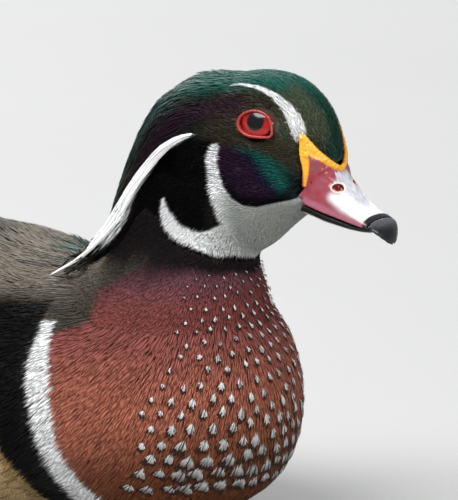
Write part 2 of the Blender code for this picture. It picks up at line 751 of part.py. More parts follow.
def build_tail():
    rings = []
    for share, width, height in TAIL_STUMP:
        turns = np.linspace(0, 2 * math.pi, 12, endpoint=False)
        rings.append([tail_point(share, width * math.cos(a), height * math.sin(a)) for a in turns])
    pieces = [loft("tail", rings, "tail")]
    for side in (-1, 1):
        for k in range(TAIL_PAIRS):
            spread = side * (k + 0.5) / (TAIL_PAIRS - 0.5)
            level = 3.4 - TAIL_STEP * (k + (0.5 if side < 0 else 0.0))
            reach = 1 - 0.16 * abs(spread) ** 1.5
            tip = (reach, spread * 26, level - 4 * spread**2)
            pieces.append(tail_vane((0.04, spread * 8, level), tip, 0.32 * spread, 7.2, 0.4, THIN))
    for k in range(TAIL_COVERTS):
        spread = 2 * k / (TAIL_COVERTS - 1) - 1
        drop = abs(spread)
        root, tip = (0.06, spread * 9, 4.5 + 0.3 * (k % 2)), (0.5 - 0.12 * drop, spread * 16, 6 - 2.6 * drop)
        pieces.append(tail_vane(root, tip, 0.5 * spread, 7.0, 0.8, COVERT))
        root, tip = (0.02, spread * 11, 2 * drop - 16), (0.5 - 0.1 * drop, spread * 14, -8.2 - 0.6 * drop)
        pieces.append(tail_vane(root, tip, -0.5 * spread, 6.5, -1.5, COVERT))
    return joined("tail", pieces + [undertail_core()], "tail")


def undertail_core():
    """The soft mass that closes the gap between the belly's end and the tail."""
    rings = []
    for forward, low, high, half in smooth_rows(UNDERTAIL_STATIONS, 5) * MM:
        ring = []
        for a in np.linspace(0, 2 * math.pi, 12, endpoint=False):
            y, z = oval(a, 2.2)
            ring.append(Vector((forward, y * half, (low + high) / 2 + z * (high - low) / 2)))
        rings.append(ring)
    return loft("undertail", rings, "tail")


def tube(name, points, radii, material, segments=6):
    rings = []
    for i, at in enumerate(points):
        ahead = (points[min(i + 1, len(points) - 1)] - points[max(i - 1, 0)]).normalized()
        side = ahead.cross(Vector((0, 0, 1))).normalized()
        up = side.cross(ahead)
        ring = []
        for a in np.linspace(0, 2 * math.pi, segments, endpoint=False):
            ring.append(at + (side * math.cos(a) + up * math.sin(a)) * radii[i])
        rings.append(ring)
    return loft(name, rings, material)


def build_leg(side, word):
    def out(p):
        return Vector((p.x, p.y * side, p.z))

    thigh, ankle, toe = out(THIGH_PLACE), out(ANKLE_PLACE), out(FOOT_PLACE + Vector((-3, 0, 3.6)) * MM)
    thin = SHANK_RADIUS
    upper = tube("leg_" + word, [thigh, thigh.lerp(ankle, 0.6), ankle], [6 * MM, 4.4 * MM, thin], "leg")
    shank = [ankle + Vector((-3, 0, 0.2)) * MM, ankle.lerp(toe, 0.5), toe]
    lower = tube("shank", shank, [thin, thin * 0.85, thin], "leg")
    return joined("leg_" + word, [upper, lower, *foot_pieces(side)], "leg")


def foot_pieces(side):
    """Three forward toes, the web between them and the small hind toe, flat on the floor."""
    heel = Vector((FOOT_PLACE.x, side * FOOT_PLACE.y, 2.2 * MM))
    pieces, tips = [], []
    for k, length in enumerate(FOOT_TOE_LENGTHS):
        turn = math.radians((k - 1) * 13.0 + 2.0)
        way = Vector((math.cos(turn), side * math.sin(turn), 0))
        tip = heel + way * length
        tips.append(tip)
        points = [heel - way * 2 * MM, heel + way * length * 0.5, heel + way * length * 0.86, tip]
        levels = (2.3, 1.9, 1.6, 0.7)
        for point, level in zip(points, levels):
            point.z = level * MM
        pieces.append(tube("toe", points, [2.3 * MM, 1.9 * MM, 1.6 * MM, 0.4 * MM], "leg"))
    web_tips = [heel.lerp(tip, 0.84) for tip in tips]
    rim = [web_tips[0], web_tips[0].lerp(web_tips[1], 0.5).lerp(heel, 0.08), web_tips[1]]
    rim += [web_tips[1].lerp(web_tips[2], 0.5).lerp(heel, 0.08), web_tips[2], heel]
    rings = [[Vector((p.x, p.y, z * MM)) for p in rim] for z in (0.9, 2.1)]
    pieces.append(loft("web", rings, "leg"))
    hind = [heel + Vector((-2, -side * 3, 0)) * MM, heel + Vector((-12, -side * 5, -1.0)) * MM]
    pieces.append(tube("hind_toe", hind, [1.6 * MM, 0.7 * MM], "leg"))
    return pieces


def placed(obj, parent):
    """The origin of obj moves to its middle, and obj is hung on the bird's own empty."""
    corners = np.array([v.co for v in obj.data.vertices])
    middle = Vector((corners.min(axis=0) + corners.max(axis=0)) / 2)
    obj.data.transform(Matrix.Translation(-middle))
    obj.location = middle
    obj.parent = parent


def main():
    clear_scene()
    whole, breast, torso = build_torso()
    neck, head = build_neck(), build_head()
    upper, nail, lower = build_bill()
    eyes = [build_eye(side, word) for side, word in ((1, "left"), (-1, "right"))]
    lids = [build_lids(side, word) for side, word in ((1, "left"), (-1, "right"))]
    wings = [build_wing(side, word) for side, word in ((1, "left"), (-1, "right"))]
    legs = [build_leg(side, word) for side, word in ((1, "left"), (-1, "right"))]
    flanks = [build_flank(side, word) for side, word in ((1, "left"), (-1, "right"))]
    tail, crest = build_tail(), build_crest()
    room = grown(whole)
    bpy.data.objects.remove(whole)
    for obj in [neck, tail, crest, *wings, *flanks, *legs]:
        cut(obj, room)
    head_room = grown(head)
    neck_room = grown(neck)
    cut(crest, head_room, neck_room)
    cut(neck, head_room)
    cut(upper, head_room, solver="MANIFOLD")
    cut(lower, head_room)
    for eye, lid in zip(eyes, lids):
        eye_room = grown(eye)
        cut(head, eye_room)
        cut(lid, eye_room, head_room)
        bpy.data.objects.remove(eye_room)
    for flank, leg in zip(flanks, legs):
        flank_room = grown(flank)
        cut(leg, flank_room)
        bpy.data.objects.remove(flank_room)
    for obj in (room, head_room, neck_room):
        bpy.data.objects.remove(obj)
    solids = list(bpy.data.objects)
    bird = bpy.data.objects.new("wood_duck", None)
    bpy.context.scene.collection.objects.link(bird)
    for solid in solids:
        smooth_shaded(solid)
        placed(solid, bird)
    bpy.context.view_layer.update()


main()
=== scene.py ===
"""A life-size wood duck drake at rest: its plumage, bill, eyes and feet, built over the solid model.

The bird looks along +X, its left side is +Y and it lies on z = 0. Everything is in metres. Sizes in
tables are in millimetres, and those of the head are in the head's own axes, with their origin midway
between the eyes, so that its markings stay with it however it turns.
"""

import math

import bpy
import numpy as np
from bpy.props import FloatProperty, FloatVectorProperty, PointerProperty
from bpy.types import Operator, Panel, PropertyGroup
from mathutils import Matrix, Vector
from mathutils.bvhtree import BVHTree


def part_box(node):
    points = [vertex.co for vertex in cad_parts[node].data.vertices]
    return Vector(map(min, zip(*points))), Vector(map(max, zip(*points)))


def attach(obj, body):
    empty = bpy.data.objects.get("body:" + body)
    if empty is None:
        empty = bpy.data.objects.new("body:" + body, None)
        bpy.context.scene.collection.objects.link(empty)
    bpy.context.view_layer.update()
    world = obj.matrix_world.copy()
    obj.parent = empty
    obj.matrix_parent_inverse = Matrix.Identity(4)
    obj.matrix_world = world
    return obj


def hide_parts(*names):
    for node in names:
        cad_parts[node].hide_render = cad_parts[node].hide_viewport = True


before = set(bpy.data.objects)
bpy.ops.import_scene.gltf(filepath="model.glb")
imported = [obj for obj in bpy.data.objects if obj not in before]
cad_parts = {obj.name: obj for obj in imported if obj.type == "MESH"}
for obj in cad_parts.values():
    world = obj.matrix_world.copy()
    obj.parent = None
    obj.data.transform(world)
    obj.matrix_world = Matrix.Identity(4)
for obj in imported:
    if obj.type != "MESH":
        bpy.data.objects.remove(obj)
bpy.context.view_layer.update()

bl_info = {
    "name": "Wood duck drake",
    "version": (1, 0, 0),
    "blender": (4, 5, 0),
    "location": "3D View > Sidebar > Wood duck",
    "description": "Plumage, bill, eyes and feet over the solid model of a wood duck drake",
    "category": "Add Mesh",
}

MM = 0.001
SEED = 7
SIDES = (("left", 1), ("right", -1))

# The view: turned and raised from the bird's right side, its scale, and where the head's middle falls.
AZIMUTH, ELEVATION = 25.0, 12.0
PIXELS_PER_MM = 3.0
IMAGE_SIZE = (458, 500)
HEAD_PIXEL = (280, 117)

# Where the head sits and how far it is turned, read from the two eyes.
EYE_DROP = 1.2 * MM
EYES = {word: sum(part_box("eye_" + word), Vector()) / 2 for word, _ in SIDES}
HEAD_CENTRE = np.array((EYES["left"] + EYES["right"]) / 2) + (0, 0, EYE_DROP)
ACROSS = EYES["left"] - EYES["right"]
HEAD_TURN = math.atan2(-ACROSS.x, ACROSS.y)
# The eyeball's middle, radius and gaze, and the middle, half length and half height of the lids' opening.
EYEBALL, EYEBALL_RADIUS, GAZE = (0.2, 8.9, -0.2), 7.4, (1.16, 7.17, 1.42)
EYE_OPENING = (0.7, 0.1, 6.1, 4.2)
# The middle, half length and half height of the ground round an eye that stays free of feathers.
EYE_GROUND = (0.8, 0.1, 7.3, 4.8)

SKIN_NODES = ("torso", "breast", "neck", "head", "crest", "flank_left", "flank_right", "wing_left", "wing_right")
# Regions of the skin: the solids each lies over, and how deep its coat is.
REGIONS = {
    "head": (("head",), 0.8),
    "crest": (("crest",), 2.0),
    "neck": (("neck",), 1.3),
    "breast": (("breast",), 1.9),
    "torso": (("torso",), 2.4),
    "flank": (("flank_left", "flank_right"), 2.6),
    "wing": (("wing_left", "wing_right"), 2.6),
    "tail": (("tail",), 2.0),
}
# How much deeper the skin lies under the bill, and how much darker it is than its feathers.
BILL_SINK, SKIN_SHADE = 1.6, 0.92
# Forward place where the skin's share of the wings ends.
WING_SHIELD_END = -68.0
# The soft core under the tail's root: its middle, half sizes and slope.
TAIL_CORE = ((-112.0, 0.0, 57.0), (30.0, 16.0, 13.5), 22.0)
# Height of the body's middle, from where angles up its side are counted, by forward place.
BODY_MIDDLE = ((-130, 62), (-70, 52), (100, 45))

# Length, width and spacing of each coat's feathers.
COATS = {
    "crown": (4.6, 0.5, 0.72),
    "face": (3.3, 0.48, 0.68),
    "throat": (2.0, 0.42, 0.52),
    "crest": (17.0, 0.95, 1.1),
    "neck": (3.4, 0.49, 0.7),
    "breast": (7.5, 0.68, 1.0),
    "bar": (7.5, 0.6, 0.85),
    "shoulder": (8.5, 0.9, 1.15),
    "mantle": (12.0, 5.5, 3.0),
    "flank": (15.0, 6.0, 3.4),
    "belly": (11.0, 5.0, 3.4),
    "rump": (14.0, 7.0, 4.0),
}

COLOURS = {
    "crown_teal_painted_sheen": (0.01, 0.098, 0.076),
    "crown_green": (0.006, 0.042, 0.028),
    "forehead_olive": (0.085, 0.098, 0.056),
    "crest_green": (0.006, 0.05, 0.04),
    "crest_purple": (0.032, 0.011, 0.024),
    "face_brown": (0.034, 0.028, 0.016),
    "cheek_purple": (0.018, 0.007, 0.021),
    "cheek_blue": (0.009, 0.008, 0.03),
    "cheek_teal": (0.006, 0.082, 0.068),
    "deep_black": (0.0012, 0.0012, 0.0014),
    "white": (0.94, 0.945, 0.95),
    "throat_painted_shade": (0.33, 0.35, 0.32),
    "neck_dark": (0.013, 0.01, 0.011),
    "neck_purple": (0.15, 0.062, 0.08),
    "breast_top": (0.235, 0.067, 0.06),
    "breast_middle": (0.43, 0.14, 0.088),
    "breast_low": (0.18, 0.056, 0.022),
    "mantle": (0.27, 0.235, 0.185),
    "mantle_low": (0.062, 0.052, 0.04),
    "back_bronze": (0.02, 0.03, 0.025),
    "buff": (0.42, 0.28, 0.12),
    "flank_line": (0.05, 0.035, 0.02),
    "belly": (0.78, 0.76, 0.72),
    "maroon": (0.07, 0.012, 0.03),
    "rump": (0.008, 0.014, 0.014),
    "undertail": (0.035, 0.025, 0.02),
    "scapular": (0.012, 0.016, 0.024),
    "tertial_blue": (0.014, 0.028, 0.07),
    "tertial_bronze": (0.025, 0.06, 0.045),
    "speculum": (0.01, 0.09, 0.17),
    "primary": (0.06, 0.055, 0.055),
    "silver": (0.5, 0.53, 0.56),
    "tail": (0.006, 0.02, 0.02),
    "spot": (0.66, 0.66, 0.65),
    "spot_edge_and_painted_shadow": (0.035, 0.016, 0.01),
    "bill_yellow": (0.78, 0.38, 0.02),
    "bill_orange": (0.6, 0.17, 0.012),
    "bill_red": (0.33, 0.014, 0.022),
    "bill_pink": (0.25, 0.062, 0.088),
    "bill_rose": (0.36, 0.11, 0.16),
    "bill_white": (0.78, 0.76, 0.78),
    "bill_grey": (0.48, 0.49, 0.53),
    "bill_black": (0.006, 0.006, 0.008),
    "iris_red": (0.32, 0.006, 0.006),
    "dark_red_and_painted_shade": (0.06, 0.0015, 0.002),
    "lid_red": (0.34, 0.015, 0.013),
    "leg": (0.23, 0.15, 0.045),
    "web": (0.04, 0.033, 0.026),
    "floor": (0.47, 0.47, 0.46),
}

# The head's markings, in its own axes: forward, out from the middle, up, and half width of the stroke.
BROW_STRIPE = (
    (-17.0, 8.4, 10.3, 0.3), (-10.1, 8.6, 11.5, 0.5), (-2.9, 9.0, 11.5, 0.75), (4.7, 9.7, 9.6, 1.15),
    (10.1, 9.9, 6.2, 1.8), (13.6, 10.2, 2.2, 2.5), (15.6, 10.4, -1.6, 2.6), (15.8, 10.8, -4.0, 1.4),
)
CREST_STRIPE = (
    (-22.5, 17.1, -5.8, 0.3), (-27.9, 17.2, -7.5, 1.2), (-34.8, 17.5, -11.5, 1.6), (-39.4, 18.3, -16.4, 1.7),
    (-43.1, 19.4, -21.8, 1.8), (-46.5, 21.0, -28.2, 2.0), (-48.4, 23.3, -35.0, 2.5), (-53.0, 25.5, -43.5, 2.9),
    (-58.0, 31.0, -51.0, 3.4), (-65.0, 38.0, -57.5, 3.4),
)
# From this place of the stripe on its white plumes hang loose.
LOOSE_FROM = 8
# Outline of the white throat with its two fingers, seen from the head's side: forward, up.
THROAT_OUTLINE = (
    (-13.2, -7.9), (-11.9, -8.6), (-12.4, -14.1), (-10.0, -21.3), (-6.8, -25.6), (-3.0, -27.8), (2.0, -27.9),
    (7.0, -26.4), (13.0, -24.8), (16.0, -23.6), (32.0, -29.0), (24.0, -50.0), (0.0, -48.2), (-5.0, -47.2),
    (-8.0, -46.6), (-12.0, -46.0), (-17.2, -42.9), (-22.4, -40.9), (-27.5, -37.3), (-29.6, -34.6), (-31.0, -31.2),
    (-31.6, -27.8), (-30.4, -27.4), (-28.9, -29.6), (-27.3, -31.2), (-22.4, -35.2), (-17.2, -37.4), (-14.7, -37.2),
    (-10.9, -34.9), (-12.6, -28.8), (-15.6, -20.0), (-17.0, -13.4), (-15.4, -8.6),
)
# The crown's middle, from the bill over the head and down the nape.
CROWN_LINE = (
    (26.0, 0.0, -12.0), (24.5, 0.0, -1.0), (22.0, 0.0, 3.7), (18.0, 0.0, 8.7), (12.0, 0.0, 13.2), (5.0, 0.0, 15.7),
    (-5.0, 0.0, 16.4), (-20.0, 0.0, 15.2), (-35.5, 0.0, 11.5), (-45.5, 0.0, 5.0), (-53.6, 0.0, -4.8),
    (-58.0, 0.0, -17.0), (-60.6, 0.0, -31.0), (-63.2, 0.0, -42.0), (-65.5, 0.0, -50.8), (-78.0, 0.0, -57.0),
)
# Lines that the head's feathers follow, back from the bill.
HEAD_LINES = (
    CROWN_LINE,
    ((16, 10.5, -5), (13.6, 10.2, 2.2), (10.1, 9.9, 6.2), (4.7, 9.7, 9.6), (-2.9, 9, 11.5), (-10, 8.8, 11.4),
     (-23.6, 11.2, 7.7), (-34.8, 13.8, 2.9), (-43.8, 15.2, -5.5), (-49, 16.7, -16.6), (-53, 18, -30), (-58, 24, -44),
     (-68, 28, -54)),
    ((17, 11, -8), (10, 14, -9), (0, 16, -9), (-12, 17.5, -6.5), (-23.1, 17.1, -5.9), (-27.9, 17.2, -7.5),
     (-34.8, 17.5, -11.5), (-39.4, 18.3, -16.4), (-43.1, 19.4, -21.8), (-46.5, 21, -28.2), (-48.4, 23.3, -35),
     (-52.5, 25, -42.7), (-58, 31, -51), (-68, 38, -58)),
    ((16, 11, -18), (5, 16, -20), (-5, 18.5, -20), (-13, 19.5, -22), (-20, 20, -27), (-26, 22, -34),
     (-31, 27, -42), (-38, 32, -54)),
    ((17, 5, -27), (9, 9, -32), (0, 11, -39), (-7, 13, -46), (-10, 15, -54)),
)
# Lines that the body's feathers follow: forward, out, up.
BODY_LINES = (
    ((141, 0, 94), (146, 0, 78), (151, 0, 62), (154.5, 0, 42), (149, 0, 20), (133, 0, 5), (100, 0, 0), (-110, 0, 10),
     (-130, 0, 50)),
    ((132, 20, 96), (134, 30, 78), (133, 38, 60), (129, 45, 42), (120, 47, 24), (104, 42, 10), (80, 40, 4),
     (-100, 30, 20)),
    ((126, 24, 96), (122, 33, 84), (115, 44, 70), (105, 53, 55), (92, 60, 40), (76, 61, 26), (55, 58, 14),
     (20, 56, 12), (-60, 46, 20), (-118, 24, 46)),
    ((118, 26, 97), (108, 36, 88), (95, 46, 79), (79, 54, 69), (60, 60, 58), (35, 62, 48), (0, 62, 42),
     (-60, 54, 44), (-118, 24, 54)),
    ((110, 20, 98), (95, 30, 91), (75, 42, 84), (50, 54, 76), (20, 62, 66), (-30, 60, 58), (-80, 48, 60),
     (-122, 20, 64)),
    ((104, 0, 96), (80, 8, 92), (50, 14, 92), (0, 15, 92), (-60, 14, 88), (-125, 8, 76)),
)

# Edges of the white bar at the breast's rear: height, rear edge, front edge.
BAR_EDGES = ((4, 99.6, 110.5), (12, 96.6, 106.5), (25, 92, 100.3), (36, 88.5, 96), (50, 85.6, 93.5), (62, 83.6, 91.5),
             (72, 84.5, 89))
# Height where both bars end.
BAR_TOP = 73.5
# Width of the black bar behind it, by height.
BLACK_BAR = ((8, 9), (25, 12), (45, 15), (60, 21), (75, 30))
# Front edge of the olive mantle: height, forward place.
MANTLE_EDGE = ((66, 70), (70, 88), (73, 99), (83, 99), (93, 115), (100, 117))


def settings():
    """The plumage's sizes, as the panel's settings hold them."""
    return bpy.context.scene.duck_sizes


def colour(name):
    return np.array(getattr(bpy.context.scene.duck_colours, name))


def smooth(value, low, high):
    """0 below low, 1 above high, with an even turn between."""
    share = np.clip((np.asarray(value, float) - low) / (high - low), 0, 1)
    return share * share * (3 - 2 * share)


def mix(a, b, share):
    share = np.asarray(share)[..., None]
    return a * (1 - share) + b * share


def unit(vectors):
    return vectors / np.maximum(np.linalg.norm(vectors, axis=-1, keepdims=True), 1e-12)


def flat(vectors, normals):
    """The part of each vector that lies in the skin, at unit length."""
    return unit(vectors - normals * np.sum(vectors * normals, axis=-1, keepdims=True))


def turned(vectors, angle):
    c, s = math.cos(angle), math.sin(angle)
    x, y, z = vectors[..., 0], vectors[..., 1], vectors[..., 2]
    return np.stack([c * x - s * y, s * x + c * y, z], axis=-1)


def to_head(points):
    """World points in the head's own axes, in millimetres."""
    return turned(points - HEAD_CENTRE, -HEAD_TURN) / MM


def from_head(points):
    return turned(np.asarray(points, float) * MM, HEAD_TURN) + HEAD_CENTRE


def folded(points):
    """The same points with the left side laid over the right one."""
    return np.stack([points[..., 0], np.abs(points[..., 1]), points[..., 2]], axis=-1)


def plain(name, points):
    """One colour for each of some points."""
    return np.broadcast_to(colour(name), (len(points), 3))


def looked_up(place, table):
    """The second column of a table at places in its first."""
    return np.interp(place, *zip(*table))


def read_along(rows, at):
    """A table's columns at places counted along its rows."""
    return np.stack([np.interp(at, range(len(rows)), column) for column in np.array(rows).T], axis=-1)


def evened(line, rounds):
    """A line of points smoothed between its ends."""
    for _ in range(rounds):
        line[1:-1] = (line[:-2] + 2 * line[1:-1] + line[2:]) / 4
    return line


def evenly_turned(ways, rounds):
    """Directions along a line, turning evenly between its ends."""
    for _ in range(rounds):
        ways[1:-1] = unit(ways[:-2] + ways[1:-1] + ways[2:])
    return ways


def along_line(points, line):
    """Distance to a line of points, how many points along it the nearest place is, and its direction."""
    line = np.asarray(line, float)
    best = np.full(len(points), 1e9)
    share, heading = np.zeros(len(points)), np.zeros((len(points), line.shape[1]))
    for i, (a, b) in enumerate(zip(line[:-1], line[1:])):
        t = np.clip((points - a) @ (b - a) / ((b - a) @ (b - a)), 0, 1)
        distance = np.linalg.norm(points - a - t[:, None] * (b - a), axis=1)
        near = distance < best
        best[near], share[near] = distance[near], i + t[near]
        heading[near] = unit(b - a)
    return best, share, heading


def stroke(points, line, blur=0.3):
    """1 within a line's own half width of it, 0 outside, soft over blur."""
    rows = np.array(line, float)
    distance, share, _ = along_line(points, rows[:, :3])
    return smooth(np.interp(share, range(len(rows)), rows[:, 3]) - distance, -blur, blur)


def depth_inside(points, outline):
    """How far each flat point lies inside a closed outline, negative outside it."""
    closed = np.array(outline + outline[:1], float)
    distance, _, _ = along_line(points, closed)
    inside = np.zeros(len(points), bool)
    for (ax, ay), (bx, by) in zip(closed[:-1], closed[1:]):
        if ay != by:
            crosses = (ay > points[:, 1]) != (by > points[:, 1])
            inside ^= crosses & (points[:, 0] < (bx - ax) * (points[:, 1] - ay) / (by - ay) + ax)
    return np.where(inside, distance, -distance)


def head_paint(p):
    """Colour of the head's plumage at places in its own axes, the left side folded over the right."""
    x, out, up = p.T
    crown, _, _ = along_line(p, CROWN_LINE)
    # Partly the crown's own glossy green, partly painted sheen: the green is kept to a band along the crown line and
    # turns lighter teal higher up, where the light grazes the top.
    green = mix(colour("crown_green"), colour("crown_teal_painted_sheen"), smooth(up, 2, 13) * smooth(-x, -24, -10))
    green = mix(green, colour("crest_green"), smooth(-x, 28, 46))
    paint = plain("face_brown", p)
    dusk = smooth(-x, 14, 26) * (1 - smooth(-x, 40, 50))
    paint = mix(paint, colour("crown_green") * 0.45, 0.8 * dusk)
    reach = np.interp(-x, (-25, -18, -8, 0, 12, 30, 48), (5.5, 7.5, 9.0, 10.5, 12.0, 14.0, 18.0))
    paint = mix(paint, green, 1 - smooth(crown, reach - 3, reach + 3))
    centre = np.interp(-x, (0, 10, 24, 34, 46, 56), (16.0, 17.0, 19.0, 22.0, 24.0, 27.0))
    olive = smooth(x, 4, 12) * (1 - smooth(x, 22, 25)) * smooth(crown, 1.5, 5.0) * smooth(up, -10, 2)
    paint = mix(paint, colour("forehead_olive"), 0.75 * olive)
    band = np.exp(-(((crown - centre) / np.interp(-x, (0, 30), (2.6, 4.6))) ** 2)) * smooth(-x, 0, 10)
    paint = mix(paint, colour("crest_purple"), 0.85 * band * (1 - smooth(-x, 44, 54)))
    # The cheek, from purple behind through blue to teal in front, black at its rim.
    top = np.interp(x, (-12, -4, 2.7, 8.6, 12.8, 16), (-8.0, -8.0, -8.6, -10.6, -13.2, -16))
    cheek = smooth(top - up, -1.5, 2.0) * smooth(x, -16, -11)
    phase = x + 0.75 * (up + 16)
    tone = mix(colour("cheek_purple"), colour("cheek_blue"), smooth(phase, -1.0, 4.5))
    tone = mix(tone, colour("cheek_teal"), smooth(phase, 3.0, 8.5))
    tone = mix(tone, colour("crown_green") * 0.8, smooth(phase, 9.0, 13.0))
    tone = mix(tone, colour("cheek_teal"), 0.55 * smooth(2.6 - (top - up), 0, 2) * smooth(x, -9, -3))
    low = np.interp(x, (-12, -7.5, -3.5, 3, 9, 12, 15.5), (-17, -24, -26.8, -27.1, -26, -23.5, -20.5))
    rim = np.maximum(1 - smooth(up - low, 0.5, 5.0), smooth(x, 11.5, 15.5))
    paint = mix(paint, mix(tone, colour("deep_black"), 0.9 * rim), cheek)
    # Black behind the cheek and below the crest's stripe.
    stripe_up = np.interp(-x, (8, 24, 37, 42, 46, 50, 56, 66), (-7, -7, -15, -22, -29, -38, -47, -56))
    behind = smooth(stripe_up - up, -1.5, 1.5) * smooth(-x, 11, 16)
    paint = mix(paint, colour("deep_black"), behind)
    seen = np.stack([x, up + 0.22 * np.maximum(12 - out, 0) * smooth(-up, 38, 44)], axis=1)
    white = smooth(depth_inside(seen, THROAT_OUTLINE), -0.35, 0.35)
    # Painted shade: the lower front of the white throat, under the bill, is painted grey.
    shade = 0.95 * smooth(-up, 21, 28) * smooth(x, -16, -6.5)
    paint = mix(paint, mix(colour("white"), colour("throat_painted_shade"), shade), white)
    # Where the crest's sides end on the shoulder they take the mantle's tone.
    paint = mix(paint, colour("mantle_low") * 1.3, smooth(-x, 53, 58) * smooth(out, 18, 24))
    for line in (BROW_STRIPE, CREST_STRIPE[:LOOSE_FROM]):
        paint = mix(paint, colour("white"), stroke(p, line))
    return paint


def bar_edges(up):
    """Rear and front edge of the white bar, and the rear edge of the black one, at each height."""
    levels, rear, ahead = zip(*BAR_EDGES)
    rear = np.interp(up, levels, rear)
    return rear, np.interp(up, levels, ahead), rear - looked_up(up, BLACK_BAR)


def body_paint(p):
    """Colour of the body's plumage at places in the bird's axes, in millimetres, folded on one side."""
    x, _, up = p.T
    paint = mix(colour("breast_low"), colour("breast_middle"), smooth(up - 0.25 * (x - 120), 18, 48))
    paint = mix(paint, colour("breast_top"), smooth(up, 48, 76))
    paint = mix(paint, colour("neck_purple"), smooth(up, 76, 90))
    front = looked_up(up, MANTLE_EDGE)
    mantle = smooth(front - x, -1.5, 3) * smooth(up, 64, 70)
    paint = mix(paint, mix(
        mix(colour("mantle_low"), colour("mantle"), smooth(up, 74, 88) * (0.3 + 0.7 * smooth(front - x, 2, 24))),
        colour("back_bronze"), smooth(-x, -62, 6)
    ), mantle)
    belly = 1 - smooth(up, 3, 12)
    paint = mix(paint, colour("belly"), belly * (1 - smooth(x, 118, 140)))
    rear, ahead, black_rear = bar_edges(up)
    below = smooth(BAR_TOP - up, -0.6, 0.6)
    paint = mix(paint, colour("buff"), smooth(rear - 6 - x, 0, 1) * below * (1 - belly))
    black = smooth(rear - x, -0.3, 0.3) * smooth(x - black_rear, -0.4, 0.4)
    paint = mix(paint, colour("deep_black"), black * smooth(BAR_TOP + 4 - up, -3, 1) * smooth(up, 6, 9))
    white = smooth(x - rear, -0.3, 0.3) * smooth(ahead - x, -0.3, 0.3) * below
    paint = mix(paint, colour("white"), white)
    # Behind: bronze back, black rump with a maroon patch at each side, dark brown under the tail.
    paint = mix(paint, colour("back_bronze"), smooth(-x, -70, -4) * smooth(up, 72, 78))
    paint = mix(paint, colour("rump"), smooth(-x, 70, 88) * smooth(up, 60, 66))
    paint = mix(paint, colour("maroon"), smooth(-x, 84, 92) * smooth(up, 36, 42) * (1 - smooth(up, 60, 64)))
    paint = mix(paint, colour("undertail"), smooth(-x, 96, 108) * (1 - smooth(up, 42, 50)))
    return mix(paint, colour("rump"), smooth(-x, 122, 130))


def crest_paint(points):
    """The head's own colours wherever the crest reaches."""
    return head_paint(folded(to_head(points)))


def paint_at(points):
    """Colour of the plumage at any world points: skin and feathers take it alike."""
    head = folded(to_head(points))
    body = folded(points / MM)
    # The head's own colours end at the lower edge of its collar.
    x, _, up = head.T
    edge = np.interp(x, (-66, -50, -38, -31.5, -29.3, -27.5, -22.4, -17.2, -12, -5, 30),
                     (-42, -42, -32, -33.6, -36.8, -39, -42.6, -44.6, -47.7, -49.2, -56))
    edge = edge - 0.22 * np.maximum(12 - head[:, 1], 0)
    on_head = smooth(up - edge, -0.3, 0.3) * smooth(body[:, 2], 84, 86) * smooth(body[:, 0], 82, 88)
    fade = np.interp(x, (-56, -48, -40, -30, -25, -17, -8), (6, 17, 30, 23, 15, 8, 5))
    dark = smooth((up - edge) / fade, -1, -0.4) * (1 - on_head) * smooth(body[:, 2], 70, 84) * smooth(x, -57, -48)
    under = mix(body_paint(body), colour("neck_dark"), dark)
    return mix(under, head_paint(head), on_head)


def read(data, name, width, kind=np.float32):
    values = np.empty(len(data) * width, kind)
    data.foreach_get(name, values)
    return values.reshape(-1, width).astype(float if kind is np.float32 else int)


def node_tree(names):
    """A search tree over the faces of some solid nodes."""
    places, faces = [], []
    for name in names:
        first = len(places)
        places += [v.co.copy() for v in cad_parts[name].data.vertices]
        faces += [[first + i for i in f.vertices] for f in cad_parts[name].data.polygons]
    return BVHTree.FromPolygons(places, faces)


